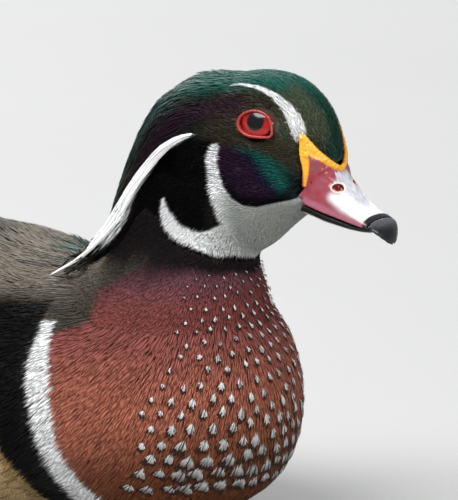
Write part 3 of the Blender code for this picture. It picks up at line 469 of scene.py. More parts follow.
class Surface:
    """The finished skin, read for scattering feathers over it and laying them down on it."""

    # Random places tried for each cell that is filled, and the most cells along one axis.
    TRIES, CELLS = 4, 4096

    def __init__(self, obj, region, depth):
        mesh = obj.data
        mesh.calc_loop_triangles()
        self.places = read(mesh.vertices, "co", 3)
        self.normals = read(mesh.vertices, "normal", 3)
        self.corners = read(mesh.loop_triangles, "vertices", 3, np.int32)
        self.uv = read(mesh.uv_layers.active.data, "uv", 2)[read(mesh.loop_triangles, "loops", 3, np.int32)]
        self.tree = BVHTree.FromPolygons(self.places.tolist(), self.corners.tolist())
        self.region = region[self.corners[:, 0]]
        self.depth = depth[self.corners].mean(axis=1)
        a, b, c = self.places[self.corners].transpose(1, 0, 2)
        self.areas = np.linalg.norm(np.cross(b - a, c - a), axis=1) / 2
        self.middles = (a + b + c) / 3

    def read_at(self, triangles, shares):
        """Places, normals and unwrapped places at given shares of three corners."""
        corners, shares = self.corners[triangles], shares[:, :, None]
        places = (self.places[corners] * shares).sum(axis=1)
        normals = unit((self.normals[corners] * shares).sum(axis=1))
        return places, normals, (self.uv[triangles] * shares).sum(axis=1)

    def scatter(self, chosen, spacing, rng):
        """Random places on the chosen triangles, at most one in each cell of the given spacing."""
        areas = self.areas * chosen
        count = int(areas.sum() / spacing**2 * self.TRIES)
        triangles = rng.choice(len(areas), count, p=areas / areas.sum())
        a, b = rng.random((2, count))
        over = a + b > 1
        a[over], b[over] = 1 - a[over], 1 - b[over]
        places, normals, uv = self.read_at(triangles, np.stack([1 - a - b, a, b], axis=1))
        cells = np.floor(places / spacing).astype(np.int64)
        keys = (cells[:, 0] * self.CELLS + cells[:, 1]) * self.CELLS + cells[:, 2]
        _, first = np.unique(keys, return_index=True)
        return places[first], normals[first], uv[first]

    def depth_at(self, points):
        """How far the skin lies inside the solid body at the nearest places."""
        return self.depth[[self.tree.find_nearest(p)[2] for p in points.tolist()]]

    def drop(self, points):
        """The nearest places of the skin, with their normals and unwrapped places."""
        found = [self.tree.find_nearest(p) for p in points.tolist()]
        hits = np.array([f[0] for f in found])
        triangles = np.array([f[2] for f in found])
        a, b, c = self.places[self.corners[triangles]].transpose(1, 0, 2)
        whole = np.cross(b - a, c - a)
        size = np.maximum((whole * whole).sum(axis=1), 1e-30)
        second = (np.cross(hits - a, c - a) * whole).sum(axis=1) / size
        third = (np.cross(b - a, hits - a) * whole).sum(axis=1) / size
        return self.read_at(triangles, np.stack([1 - second - third, second, third], axis=1))

    def on_side(self, forward, degrees, side):
        """Place on the body at a forward place and an angle up from its side, in mm and degrees."""
        a = math.radians(degrees)
        start = Vector((forward, 0, looked_up(forward, BODY_MIDDLE))) * MM
        hit, _, _, _ = self.tree.ray_cast(start, Vector((0, side * math.cos(a), math.sin(a))))
        if hit is None:
            raise RuntimeError(f"no skin at {forward} mm, {degrees} degrees")
        return np.array(hit)


# The finished skin, once it is built.
SKIN = {}


def flow(points):
    """Which way the plumage lies at each place, before it is laid into the skin."""
    head = to_head(points)
    ways = []
    for place, lines, soft in ((head, HEAD_LINES, 3.0), (points / MM, BODY_LINES, 8.0)):
        side = np.where(place[:, 1:2] < 0, -1.0, 1.0) * (0, 1, 0) + (1, 0, 1)
        total = np.zeros(points.shape)
        for line in lines:
            distance, _, heading = along_line(folded(place), line)
            total += heading / (distance**2 + soft**2)[:, None] ** 1.5
        ways.append(unit(total) * side)
    on_head = smooth(points[:, 2] / MM, 88, 97) * smooth(points[:, 0] / MM, 60, 70)
    return unit(mix(ways[1], turned(ways[0], HEAD_TURN), on_head))


def trails(start, normals, lengths, shares, lifts, ways, follow=True):
    """Centre lines that run over the skin, each station dropped on it and raised by its lift."""
    way = flat(ways, normals)
    lifts = [np.broadcast_to(lift, len(start))[:, None] for lift in lifts]
    here, lines, ups = start, [start + normals * lifts[0]], [normals]
    for k in range(1, len(shares)):
        there, up, _ = SKIN["surface"].drop(here + way * (lengths * (shares[k] - shares[k - 1]))[:, None])
        lines.append(there + up * lifts[k])
        ups.append(up)
        way = flat(flow(there) if follow else there - here, up)
        here = there
    return np.stack(lines, axis=1), np.stack(ups, axis=1)


def new_mesh_object(name, places, quads, triangles):
    """A mesh object straight from arrays of places, four-sided and three-sided faces."""
    mesh = bpy.data.meshes.new(name)
    mesh.vertices.add(len(places))
    mesh.vertices.foreach_set("co", places.astype(np.float32).ravel())
    loops = np.concatenate([quads.ravel(), triangles.ravel()])
    starts = np.concatenate([np.arange(len(quads)) * 4, len(quads) * 4 + np.arange(len(triangles)) * 3])
    mesh.loops.add(len(loops))
    mesh.loops.foreach_set("vertex_index", loops.astype(np.int32))
    mesh.polygons.add(len(starts))
    mesh.polygons.foreach_set("loop_start", starts.astype(np.int32))
    mesh.update(calc_edges=True)
    obj = bpy.data.objects.new(name, mesh)
    bpy.context.scene.collection.objects.link(obj)
    return obj, loops


def set_tint(mesh, tint):
    layer = mesh.color_attributes.new(name="Tint", type="FLOAT_COLOR", domain="POINT")
    layer.data.foreach_set("color", np.hstack([tint, np.ones((len(tint), 1))]).astype(np.float32).ravel())


# How much of the unwrap one feather takes its looks from.
FEATHER_PATCH = 0.003


def feathers(name, lines, ups, half, profile, tint, roots, material, ribs=3, crown=0.35, wall=0.0, twist=None):
    """Many feathers as one mesh: each is a closed thin blade from a root to one tip point.

    lines and ups are the centre lines and outward directions, half each feather's half width, profile the
    share of it at each station, crown how far the shaft stands above the edges as a share of the half
    width, and wall the thickness of a blade that is also arched underneath. tint gives each point's colour
    from its place, its share across and along, and its feather's number.
    """
    count, stations = lines.shape[:2]
    shares, widths = np.array(profile, float).T
    ahead = unit(np.gradient(lines, axis=1))
    across = unit(np.cross(ahead, ups))
    if twist is not None:
        up = np.cross(across, ahead)
        across = unit(across + up * twist[:, None, None])
    up = np.cross(across, ahead)
    m = np.linspace(-1, 1, ribs)
    width = half[:, None] * widths[None, :-1]
    arch = crown * width[:, :, None] * (1 - m**2)[None, None, :]
    top = (
        lines[:, :-1, None, :]
        + across[:, :-1, None, :] * (width[:, :, None] * m)[..., None]
        + up[:, :-1, None, :] * arch[..., None]
    )
    rows, sides = top, m
    if wall:
        inner = m[-2:0:-1]
        thick = wall * np.minimum(1, widths[:-1] * 2)[None, :, None, None]
        under = top[:, :, -2:0:-1, :] - up[:, :-1, None, :] * thick
        rows, sides = np.concatenate([top, under], axis=2), np.concatenate([m, inner])
    ring = len(sides)
    size = (stations - 1) * ring + 1
    places = np.concatenate([rows.reshape(count, -1, 3), lines[:, -1:, :]], axis=1)
    station, k = np.meshgrid(np.arange(stations - 2), np.arange(ring), indexing="ij")
    a = (station * ring + k).ravel()
    b = (station * ring + (k + 1) % ring).ravel()
    quads = np.stack([a, b, b + ring, a + ring], axis=1)
    last, around = (stations - 2) * ring, np.arange(ring)
    tips = np.stack([last + around, last + (around + 1) % ring, np.full(ring, size - 1)], axis=1)
    cap = np.stack([np.zeros(ring - 2, int), np.arange(2, ring), np.arange(1, ring - 1)], axis=1)
    each = (np.arange(count) * size)[:, None, None]
    quads = (quads[None] + each).reshape(-1, 4)
    triangles = (np.concatenate([tips, cap])[None] + each).reshape(-1, 3)
    obj, loops = new_mesh_object(name, places.reshape(-1, 3), quads, triangles)
    u = np.append(np.tile((sides + 1) / 2, stations - 1), 0.5)
    v = np.append(np.repeat(shares[:-1], ring), 1.0)
    mesh = obj.data
    own = np.tile(np.stack([u, v], axis=1), (count, 1))
    patch = (roots[:, None, :] + (np.stack([u, v], axis=1) - 0.5)[None] * FEATHER_PATCH).reshape(-1, 2)
    for layer, values in (("Barbs", own), ("OFBake", np.clip(patch, 0, 1))):
        mesh.uv_layers.new(name=layer).data.foreach_set("uv", values[loops].astype(np.float32).ravel())
    number = np.repeat(np.arange(count), size)
    set_tint(mesh, np.clip(tint(places, own[:, 0], own[:, 1], number), 0.001, 0.95))
    mesh.materials.append(material)
    mesh.shade_smooth()
    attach(obj, "root")
    return obj


# Share of a feather's length and of its half width at each station.
HAIR = ((0, 0.6), (0.35, 1.0), (0.75, 0.75), (1, 0))
PLUME = ((0, 0.6), (0.2, 0.95), (0.45, 1.0), (0.7, 0.8), (0.88, 0.5), (1, 0))
CONTOUR = ((0, 0.5), (0.3, 0.9), (0.55, 1.0), (0.78, 0.86), (0.92, 0.55), (1, 0))
QUILL = ((0, 0.5), (0.12, 0.8), (0.3, 1), (0.5, 1), (0.68, 0.96), (0.8, 0.86), (0.89, 0.7), (0.96, 0.42), (1, 0))
BLUNT = ((0, 0.5), (0.12, 0.8), (0.3, 1), (0.5, 1), (0.7, 1), (0.82, 0.97), (0.91, 0.88), (0.97, 0.62), (1, 0))
WEDGE = ((0, 0.25), (0.45, 0.75), (0.85, 1.0), (1, 0))
# Stations along every large feather's centre line.
STATIONS = np.array([row[0] for row in QUILL])


def soft_tint(grain, vary, rng, count, paint):
    """A feather's colour from the plumage's own, read partly at the feather's middle, each a little apart."""
    shade = 1 + vary * rng.standard_normal(count)

    def tint(places, u, v, number):
        middles = places[:, : places.shape[1] // 2].mean(axis=1)[number]
        at = places.reshape(-1, 3) * (1 - grain) + middles * grain
        return paint(at) * np.clip(shade[number], 0.4, 1.8)[:, None]

    return tint


class Sketch:
    """Adds nodes to a node tree and links them."""

    def __init__(self, tree):
        self.tree = tree

    def node(self, kind, inputs=(), **settings):
        made = self.tree.nodes.new("ShaderNode" + kind)
        for name, value in settings.items():
            setattr(made, name, value)
        for socket, value in dict(inputs).items():
            self.feed(value, made.inputs[socket])
        return made

    def feed(self, value, socket):
        if isinstance(value, bpy.types.NodeSocket):
            self.tree.links.new(value, socket)
        else:
            socket.default_value = value

    def math(self, operation, *values):
        return self.node("Math", dict(enumerate(values)), operation=operation).outputs[0]

    def blend(self, share, a, b):
        return self.node("Mix", {0: share, 6: a, 7: b}, data_type="RGBA").outputs[2]

    def scale_colour(self, colour_socket, factor):
        return self.node("VectorMath", {0: colour_socket, "Scale": factor}, operation="SCALE").outputs[0]

    def noise(self, scale, detail=2.0):
        """Noise over the piece's own place."""
        at = self.node("TexCoord").outputs["Object"]
        return self.node("TexNoise", {"Vector": at, "Scale": scale, "Detail": detail}).outputs[0]

    def on_feather(self):
        """Share of the way along a feather, and the share of its width away from the shaft."""
        place = self.node("SeparateXYZ", {0: self.node("UVMap", uv_map="Barbs").outputs[0]}).outputs
        return place[1], self.math("ABSOLUTE", self.math("SUBTRACT", place[0], 0.5))


def new_group(name, inputs, outputs):
    """An empty shader node group with named sockets: its sketch, its inputs by name and its output node."""
    tree = bpy.data.node_groups.new(name, "ShaderNodeTree")
    for way, sockets in (("INPUT", inputs), ("OUTPUT", outputs)):
        for socket, kind in sockets.items():
            tree.interface.new_socket(name=socket, in_out=way, socket_type="NodeSocket" + kind)
    sketch = Sketch(tree)
    given, made = tree.nodes.new("NodeGroupInput"), tree.nodes.new("NodeGroupOutput")
    return sketch, given.outputs, made.inputs


def barb_group():
    """Fine barbs that run out and forward from a feather's shaft, and the shaft itself."""
    sketch, given, made = new_group(
        "feather_barbs",
        {"Colour": "Color", "Barbs": "Float", "Contrast": "Float", "Shaft": "Float"},
        {"Colour": "Color", "Height": "Float"},
    )
    along, side = sketch.on_feather()
    loose = sketch.math("MULTIPLY", sketch.noise(260.0), 1.2)
    phase = sketch.math("MULTIPLY", sketch.math("SUBTRACT", along, side), given["Barbs"])
    wave = sketch.math("SINE", sketch.math("MULTIPLY", sketch.math("ADD", phase, loose), 2 * math.pi))
    wave = sketch.math("MULTIPLY_ADD", wave, 0.5, 0.5)
    shaft = sketch.math("MULTIPLY", sketch.math("LESS_THAN", side, 0.035), given["Shaft"])
    dim = sketch.math("MULTIPLY", sketch.math("MAXIMUM", wave, shaft), given["Contrast"])
    factor = sketch.math("SUBTRACT", 1.0, dim)
    sketch.feed(sketch.scale_colour(given["Colour"], factor), made["Colour"])
    sketch.feed(wave, made["Height"])
    return sketch.tree


def mottle_group():
    """Soft uneven patches and fine grain over a colour."""
    sketch, given, made = new_group(
        "soft_mottle", {"Colour": "Color", "Scale": "Float", "Amount": "Float"}, {"Colour": "Color"}
    )
    broad = sketch.math("SUBTRACT", sketch.noise(given["Scale"], 4.0), 0.5)
    factor = sketch.math("MULTIPLY_ADD", broad, given["Amount"], 1.0)
    sketch.feed(sketch.scale_colour(given["Colour"], factor), made["Colour"])
    return sketch.tree


def line_group():
    """The fine dark wavy lines across a flank feather."""
    sketch, given, made = new_group(
        "wavy_lines",
        {"Colour": "Color", "Line": "Color", "Lines": "Float", "Amount": "Float"},
        {"Colour": "Color"},
    )
    along, side = sketch.on_feather()
    along = sketch.math("MULTIPLY_ADD", sketch.math("SUBTRACT", sketch.noise(420.0), 0.5), 0.16, along)
    along = sketch.math("MULTIPLY_ADD", sketch.math("MULTIPLY", side, side), 0.5, along)
    wave = sketch.math("SINE", sketch.math("MULTIPLY", sketch.math("MULTIPLY", along, given["Lines"]), 2 * math.pi))
    line = sketch.math("MULTIPLY", sketch.node("MapRange", {0: wave, 1: 0.15, 2: 0.75}).outputs[0], given["Amount"])
    sketch.feed(sketch.blend(line, given["Colour"], given["Line"]), made["Colour"])
    return sketch.tree


GROUP_MAKERS = {"feather_barbs": barb_group, "soft_mottle": mottle_group, "wavy_lines": line_group}


def new_material(name, roughness, metallic=0.0, **sockets):
    """A material whose shader is set, with its sketch and its shader's inputs."""
    material = bpy.data.materials.new(name)
    material.use_nodes = True
    shader = material.node_tree.nodes["Principled BSDF"]
    shader.inputs["Roughness"].default_value = roughness
    shader.inputs["Metallic"].default_value = metallic
    for socket, value in sockets.items():
        shader.inputs[socket.replace("_", " ")].default_value = value
    return material, Sketch(material.node_tree), shader.inputs


def with_group(sketch, name, inputs):
    """Outputs of a shared group placed in a material, the group being built when it is first asked for."""
    group = bpy.data.node_groups.get(name) or GROUP_MAKERS[name]()
    return sketch.node("Group", inputs, node_tree=group).outputs


def patchy_tint(sketch, scale, amount):
    """A piece's own tint with soft patches."""
    tint = sketch.node("Attribute", attribute_name="Tint").outputs["Color"]
    return with_group(sketch, "soft_mottle", {"Colour": tint, "Scale": scale, "Amount": amount})["Colour"]


def with_relief(sketch, shader, height, strength, distance):
    relief = sketch.node("Bump", {"Height": height, "Strength": strength, "Distance": distance * MM})
    sketch.feed(relief.outputs[0], shader["Normal"])


def plumage(name, roughness=0.55, metallic=0.0, barbs=30.0, contrast=0.25, shaft=0.0, bump=0.2, lines=None,
            patches=0.5, **sockets):
    """Plumage that takes its colour from the feathers' own tint, with barbs, patches and a fine relief."""
    material, sketch, shader = new_material(name, roughness, metallic, **sockets)
    found = patchy_tint(sketch, 90.0, patches)
    if lines:
        line = {"Colour": found, "Line": (*colour("flank_line"), 1), "Lines": lines, "Amount": 0.6}
        found = with_group(sketch, "wavy_lines", line)["Colour"]
    barbed = with_group(
        sketch, "feather_barbs", {"Colour": found, "Barbs": barbs, "Contrast": contrast, "Shaft": shaft}
    )
    sketch.feed(barbed["Colour"], shader["Base Color"])
    with_relief(sketch, shader, barbed["Height"], bump, 0.1)
    return material


def tinted(name, roughness, scale, amount, bump, metallic=0.0, **sockets):
    """A bare surface that takes its colour from its own tint, with soft patches and a fine grain."""
    material, sketch, shader = new_material(name, roughness, metallic, **sockets)
    sketch.feed(patchy_tint(sketch, scale, amount), shader["Base Color"])
    with_relief(sketch, shader, sketch.noise(scale * 6, 6.0), bump, 0.2)
    return material


def select_only(*objects):
    bpy.ops.object.select_all(action="DESELECT")
    for obj in objects:
        obj.select_set(True)
    bpy.context.view_layer.objects.active = objects[0]


def in_edit_mode(obj, action):
    select_only(obj)
    bpy.ops.object.mode_set(mode="EDIT")
    bpy.ops.mesh.select_all(action="SELECT")
    action()
    bpy.ops.object.mode_set(mode="OBJECT")


def copy_of(nodes, name):
    """A loose copy of some solid nodes as one object, its doubled corners merged."""
    select_only(*[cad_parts[node] for node in nodes])
    bpy.ops.object.duplicate()
    copies = list(bpy.context.selected_objects)
    for made in copies:
        made.parent = None
        for key in list(made.keys()):
            del made[key]
    select_only(*copies)
    if len(copies) > 1:
        bpy.ops.object.join()
    made = bpy.context.view_layer.objects.active
    made.name = made.data.name = name
    made.data.materials.clear()
    in_edit_mode(made, lambda: bpy.ops.mesh.remove_doubles(threshold=1e-6))
    return made


def applied(obj, kind, **values):
    select_only(obj)
    modifier = obj.modifiers.new(kind.title(), kind)
    for key, value in values.items():
        setattr(modifier, key, value)
    bpy.ops.object.modifier_apply(modifier=modifier.name)
    return obj


def remeshed(obj, voxel, rounds):
    """obj as one even skin, smoothed over some rounds, with only its largest shell kept."""
    applied(obj, "REMESH", mode="VOXEL", voxel_size=voxel)
    in_edit_mode(obj, lambda: bpy.ops.mesh.separate(type="LOOSE"))
    shells = sorted(bpy.context.selected_objects, key=lambda o: len(o.data.vertices))
    kept = shells.pop()
    kept.name = obj.name if obj in shells else kept.name
    for shell in shells:
        bpy.data.objects.remove(shell)
    if rounds:
        applied(kept, "SMOOTH", factor=0.5, iterations=rounds)
    kept.data.shade_smooth()
    return kept


def shaped(obj, move):
    """Moves obj's points by a formula on their places and normals, as arrays in metres."""
    places, normals = read(obj.data.vertices, "co", 3), read(obj.data.vertices, "normal", 3)
    obj.data.vertices.foreach_set("co", move(places, normals).astype(np.float32).ravel())
    obj.data.update()
    return obj


def finished(obj, name, material, slot, *nodes):
    """A piece named, given its material, set to ride on the body in place of some nodes. Its slot is not used."""
    obj.name = obj.data.name = name
    obj.data.materials.clear()
    obj.data.materials.append(material)
    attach(obj, "root")
    if nodes:
        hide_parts(*nodes)
    return obj


class DUCK_OT_skin(Operator):
    """One skin under all the plumage, inside the solid body by the depth of each coat"""

    bl_idname = "duck.skin"
    bl_label = "Skin"

    def execute(self, context):
        sizes = context.scene.duck_sizes
        body = copy_of([n for n in SKIN_NODES if not n.startswith("wing")], "skin")
        wings = copy_of(["wing_left", "wing_right"], "wing_shields")
        end = (WING_SHIELD_END * MM, 0, 0)
        cut = dict(plane_co=end, plane_no=(1, 0, 0), clear_inner=True, use_fill=True)
        in_edit_mode(wings, lambda: bpy.ops.mesh.bisect(**cut))
        place, radii, rise = TAIL_CORE
        bpy.ops.mesh.primitive_uv_sphere_add(
            segments=48,
            ring_count=24,
            radius=1.0,
            location=Vector(place) * MM,
            rotation=(0, math.radians(rise), 0),
            scale=Vector(radii) * MM,
        )
        core = context.active_object
        bpy.ops.object.transform_apply(location=True, rotation=True, scale=True)
        select_only(body, wings, core)
        bpy.ops.object.join()
        skin = remeshed(body, sizes.skin_voxel, 10)
        region, depth = self.regions(skin)
        sunk = depth + BILL_SINK * MM * under_bill(to_head(read(skin.data.vertices, "co", 3)))
        shaped(skin, lambda places, normals: places - normals * sunk[:, None])
        in_edit_mode(skin, lambda: bpy.ops.uv.smart_project(angle_limit=math.radians(66), island_margin=0.002))
        places = read(skin.data.vertices, "co", 3)
        tint = np.where((region == "crest")[:, None], crest_paint(places), paint_at(places))
        set_tint(skin.data, tint * SKIN_SHADE)
        finished(skin, "skin", tinted("down", 0.8, 300.0, 0.6, 0.3), "back", *SKIN_NODES[:5])
        SKIN["surface"] = Surface(skin, region, depth)
        return {"FINISHED"}

    def regions(self, skin):
        """The region that each point of the skin lies in, and how deep its coat is there."""
        points = [v.co.copy() for v in skin.data.vertices]
        nodes, depths = zip(*REGIONS.values())
        trees = [node_tree(names) for names in nodes]
        distance = np.array([[tree.find_nearest(p)[3] for p in points] for tree in trees])
        region = distance.argmin(axis=0)
        depth = np.array(depths)[region] * MM
        ends = read(skin.data.edges, "vertices", 2, np.int32)
        count = np.bincount(ends.ravel(), minlength=len(points))
        for _ in range(8):
            total = np.bincount(ends[:, 0], depth[ends[:, 1]], len(points))
            total += np.bincount(ends[:, 1], depth[ends[:, 0]], len(points))
            depth = total / count
        return np.array(list(REGIONS))[region], depth


def clear_of_eyes(points):
    """How far each place lies outside the opening of its eye, as a share of the opening's size."""
    x, out, up = folded(to_head(points)).T
    corner = np.maximum(x - 4.5, 0) * np.where(up < 0.5, 0.18, 0)
    forward, level, long, high = EYE_GROUND
    return np.where(out > 8, np.hypot((x - forward) / (long + corner), (up - level) / (high + corner)), 9.0)


def round_the_eyes(points, ways):
    """Ways turned aside where they would run into an eye."""
    away = (to_head(points) - (EYE_GROUND[0], 0, EYE_GROUND[1])) * (1, 0, 1)
    away = turned(unit(away), HEAD_TURN)
    near = 1 - smooth(clear_of_eyes(points), 1.0, 1.7)
    inward = np.minimum((ways * away).sum(axis=1), 0)
    return unit(ways - away * (inward * near * 1.2)[:, None])


def under_bill(head):
    """True for places in the head's axes that lie below the rim and in front of the bill's rear edge."""
    x, _, up = head.T
    in_front = x > looked_up(up, DUCK_OT_bill.REAR) - 0.1
    return in_front & ((x - 16.8) * 10.2 + (up + 3.4) * 8.7 < 0) & (up > -24.5)


def bare_of_bill(points, normals, reach=3.5):
    """True where neither the bill nor its rim lies over the skin."""
    tree = node_tree(["bill_upper", "bill_lower"])
    head = to_head(points)
    behind = head[:, 0] < looked_up(head[:, 2], DUCK_OT_bill.REAR) - 0.1
    free = (stroke(folded(head), DUCK_OT_bill.RIM, 0.3) < 0.3) & ~under_bill(head)
    for i in np.flatnonzero((head[:, 0] > 9) & free & ~(behind & (head[:, 2] > -22))):
        free[i] = tree.ray_cast(Vector(points[i] - normals[i] * 0.3 * MM), Vector(normals[i]), reach * MM)[0] is None
    return free


def coat(name, kind, chosen, material, slot, lifts, grain=0.8, vary=0.12, profile=HAIR, keep=None, size=None,
         lean=0.2, paint=paint_at, crown=0.16, seed=0, ribs=3, ruffle=0.1, depth=None):
    """One scattered coat of feathers over the triangles that chosen picks, where keep holds.

    lifts are the heights of a feather's stations over the skin in mm, told for the given depth of coat.
    grain is how far a feather has one colour, vary how far their shades differ, lean and ruffle how far
    they stray from the flow and stand apart, and size their size at each place.
    """
    rng = np.random.default_rng(SEED + seed)
    surface = SKIN["surface"]
    length, width, spacing = (getattr(settings(), f"{kind}_{part}") for part in ("length", "width", "spacing"))
    points, normals, roots = surface.scatter(chosen(surface), spacing, rng)
    if keep is not None:
        held = keep(points, normals)
        points, normals, roots = points[held], normals[held], roots[held]
    count = len(points)
    ways = flat(round_the_eyes(points, flat(flow(points), normals)), normals)
    ways = flat(ways + np.cross(normals, ways) * (lean * rng.standard_normal(count))[:, None], normals)
    scale = np.clip(1 + 0.15 * rng.standard_normal(count), 0.6, 1.5)
    if size is not None:
        scale = scale * size(points)
    half = width / 2 * scale**0.5
    shares = [row[0] for row in profile]
    deep = surface.depth_at(points) / (depth * MM) if depth else 1.0
    lifts = [lift * MM * deep for lift in lifts]
    lines, ups = trails(points, normals, length * scale, shares, lifts, ways)
    loose = ruffle * MM * rng.standard_normal(count)
    lines = lines + ups * loose[:, None, None] * np.array(shares)[None, :, None]
    tint = soft_tint(grain, vary, rng, count, paint)
    twist = 1.5 * ruffle * rng.standard_normal(count)
    obj = feathers(name, lines, ups, half, profile, tint, roots, material, ribs=ribs, crown=crown, twist=twist)
    return obj


def in_region(*names):
    return lambda surface: np.isin(surface.region, names)


class DUCK_OT_head_coat(Operator):
    """Short hair-like feathers of the crown, face, cheeks and throat"""

    bl_idname = "duck.head_coat"
    bl_label = "Head feathers"

    def execute(self, context):
        gloss = plumage("head_gloss", 0.45, 0.5, contrast=0.12, bump=0.05, Specular_IOR_Level=0.08)
        dull = plumage("head_soft", 0.8, 0.0, contrast=0.04, bump=0.03, patches=0.25, Specular_IOR_Level=0.03)

        def bare(points, normals):
            return (clear_of_eyes(points) > 1.0) & bare_of_bill(points, normals)

        def short(points):
            """Shorter at the bill and round the eyes."""
            x = to_head(points)[:, 0]
            return (1 - 0.45 * smooth(x, 6, 20)) * (0.45 + 0.55 * smooth(clear_of_eyes(points), 1.0, 1.9))

        def part(low, high, front):
            def chosen(surface):
                head = to_head(surface.middles)
                level = (head[:, 2] >= low) & (head[:, 2] < high)
                return level & (surface.region == "head") & (front(head) if front else True)

            return chosen

        lifts = (-0.4, 0.25, 0.5, 0.62)
        made = dict(keep=bare, size=short, ruffle=0.05, grain=0.15, depth=REGIONS["head"][1])
        coat("crown_feathers", "crown", part(-4, 99, None), gloss, "head", lifts, seed=1, **made)
        coat("cheek_feathers", "face", part(-24, -4, None), gloss, "head", lifts, seed=2, **made)
        made.update(ruffle=0.02, crown=0.05, lean=0.07, vary=0.03)
        coat("throat_feathers", "throat", part(-99, -24, None), dull, "head", (-0.3, 0.22, 0.42, 0.5), seed=3, **made)
        return {"FINISHED"}


# Where the white plumes at the crest's sides end, in the head's axes.
PLUME_TIPS = ((-65.0, 39.5, -57.5), (-64.0, 36.5, -56.5), (-61.0, 34.0, -54.5), (-59.4, 32.4, -53.2),
              (-56.6, 29.5, -49.3), (-55.0, 25.5, -43.0))


class DUCK_OT_crest(Operator):
    """Long drawn-out plumes of the crest, down the nape, with the white plumes along each side"""

    bl_idname = "duck.crest"
    bl_label = "Crest"

    # White plumes on each side.
    PLUMES = 260

    def execute(self, context):
        gloss = plumage("crest_gloss", 0.4, 0.5, contrast=0.12, bump=0.1, Specular_IOR_Level=0.12)
        lifts = (-0.6, 0.5, 1.0, 1.4, 1.7, 1.8)

        def longer(points):
            """Longer down the nape."""
            return 0.4 + 0.9 * smooth(-to_head(points)[:, 0], 18, 58)

        def clear_of_plumes(points, normals):
            """False beside the loose white plumes."""
            apart, share, _ = along_line(folded(to_head(points)), np.array(CREST_STRIPE)[:, :3])
            return (apart > 9.0) | (share < len(CREST_STRIPE) - 3.2)

        coat("crest_plumes", "crest", in_region("crest"), gloss, "crest", lifts, grain=0.2, profile=PLUME,
             keep=clear_of_plumes, size=longer, lean=0.05, ruffle=0.08, paint=crest_paint,
             depth=REGIONS["crest"][1], seed=4)
        self.side_plumes()
        return {"FINISHED"}

    def side_plumes(self):
        """White plumes that follow each side stripe and fan out past the crest's end."""
        rng = np.random.default_rng(SEED + 40)
        white = plumage("plume_white", 0.8, 0.0, barbs=60.0, contrast=0.04, bump=0.05, patches=0.2,
                        Specular_IOR_Level=0.1)
        stripe, last = np.array(CREST_STRIPE), len(CREST_STRIPE) - 1
        # How far along the loose end its last three places lie.
        parts = np.array(((0.31,), (0.63,), (1.0,)))
        made, halves = [], []
        for _, side in SIDES:
            middle = stripe[:, :3] * (1, side, 1)
            ups = self.outward(middle, side)
            across = np.cross(unit(np.gradient(middle, axis=0)), ups) * side
            sag = middle[-3:] - (middle[-4] + (middle[-1] - middle[-4]) * parts)
            for k in range(self.PLUMES):
                lane, to_tip = rng.uniform(-0.9, 0.9), k % 2
                start = rng.uniform(4.2, last - 1.2) if to_tip else rng.uniform(0.1, last - 3.2)
                end = last - rng.uniform(0, 0.7) ** 2 if to_tip else start + rng.uniform(2.2, 3.2)
                path = middle + across * (lane * stripe[:, 3:])
                most = len(PLUME_TIPS) - 1
                pick = np.clip((1 - lane) / 1.8 * most + rng.uniform(-0.3, 0.3), 0, most)
                tip = read_along(PLUME_TIPS, pick) * (1, side, 1)
                long = np.linalg.norm(tip - path[-4]) / np.linalg.norm(middle[-1] - middle[-4])
                path[-3:] = path[-4] + (tip - path[-4]) * parts + sag * long
                at = start + (end - start) * STATIONS
                line, up = evened(read_along(path, at), 2), unit(read_along(ups, at))
                rise = np.interp(at, (3.5, 6.5, 9), (0.3, 2.3, 2.3 + 1.9 * long)) + 0.35 * STATIONS
                line = line + up * (rise[:, None] + rng.uniform(0, 0.5) * (1 - abs(lane)))
                place = from_head(line)
                made.append((place, turned(up, HEAD_TURN), SKIN["surface"].drop(place[:1])[2][0]))
                slim = 0.5 + 0.5 * min(start / 2, 1)
                halves.append(rng.uniform(0.42, 0.62) if to_tip else rng.uniform(0.26, 0.4) * slim)
        quills("side_plumes", white, made, halves, banded("white"), 41, ribs=3, wall=0.0, vary=0.03)

    def outward(self, line, side):
        """Outward directions of the crest's side along the stripe's middle, turning evenly."""
        _, normals, _ = SKIN["surface"].drop(from_head(line))
        found = turned(normals, -HEAD_TURN)
        found[-4:] = unit(np.array((-0.2, 0.85 * side, 0.3)))
        return evenly_turned(found, 5)


class DUCK_OT_neck_coat(Operator):
    """Close feathers of the neck"""

    bl_idname = "duck.neck_coat"
    bl_label = "Neck feathers"

    def execute(self, context):
        soft = plumage("neck_soft", 0.75, 0.0, contrast=0.08, bump=0.03, Specular_IOR_Level=0.04)
        coat("neck_feathers", "neck", in_region("neck"), soft, "neck", (-0.4, 0.45, 0.75, 0.85), grain=0.15,
             vary=0.05, crown=0.06, lean=0.07, ruffle=0.02, seed=5)
        return {"FINISHED"}


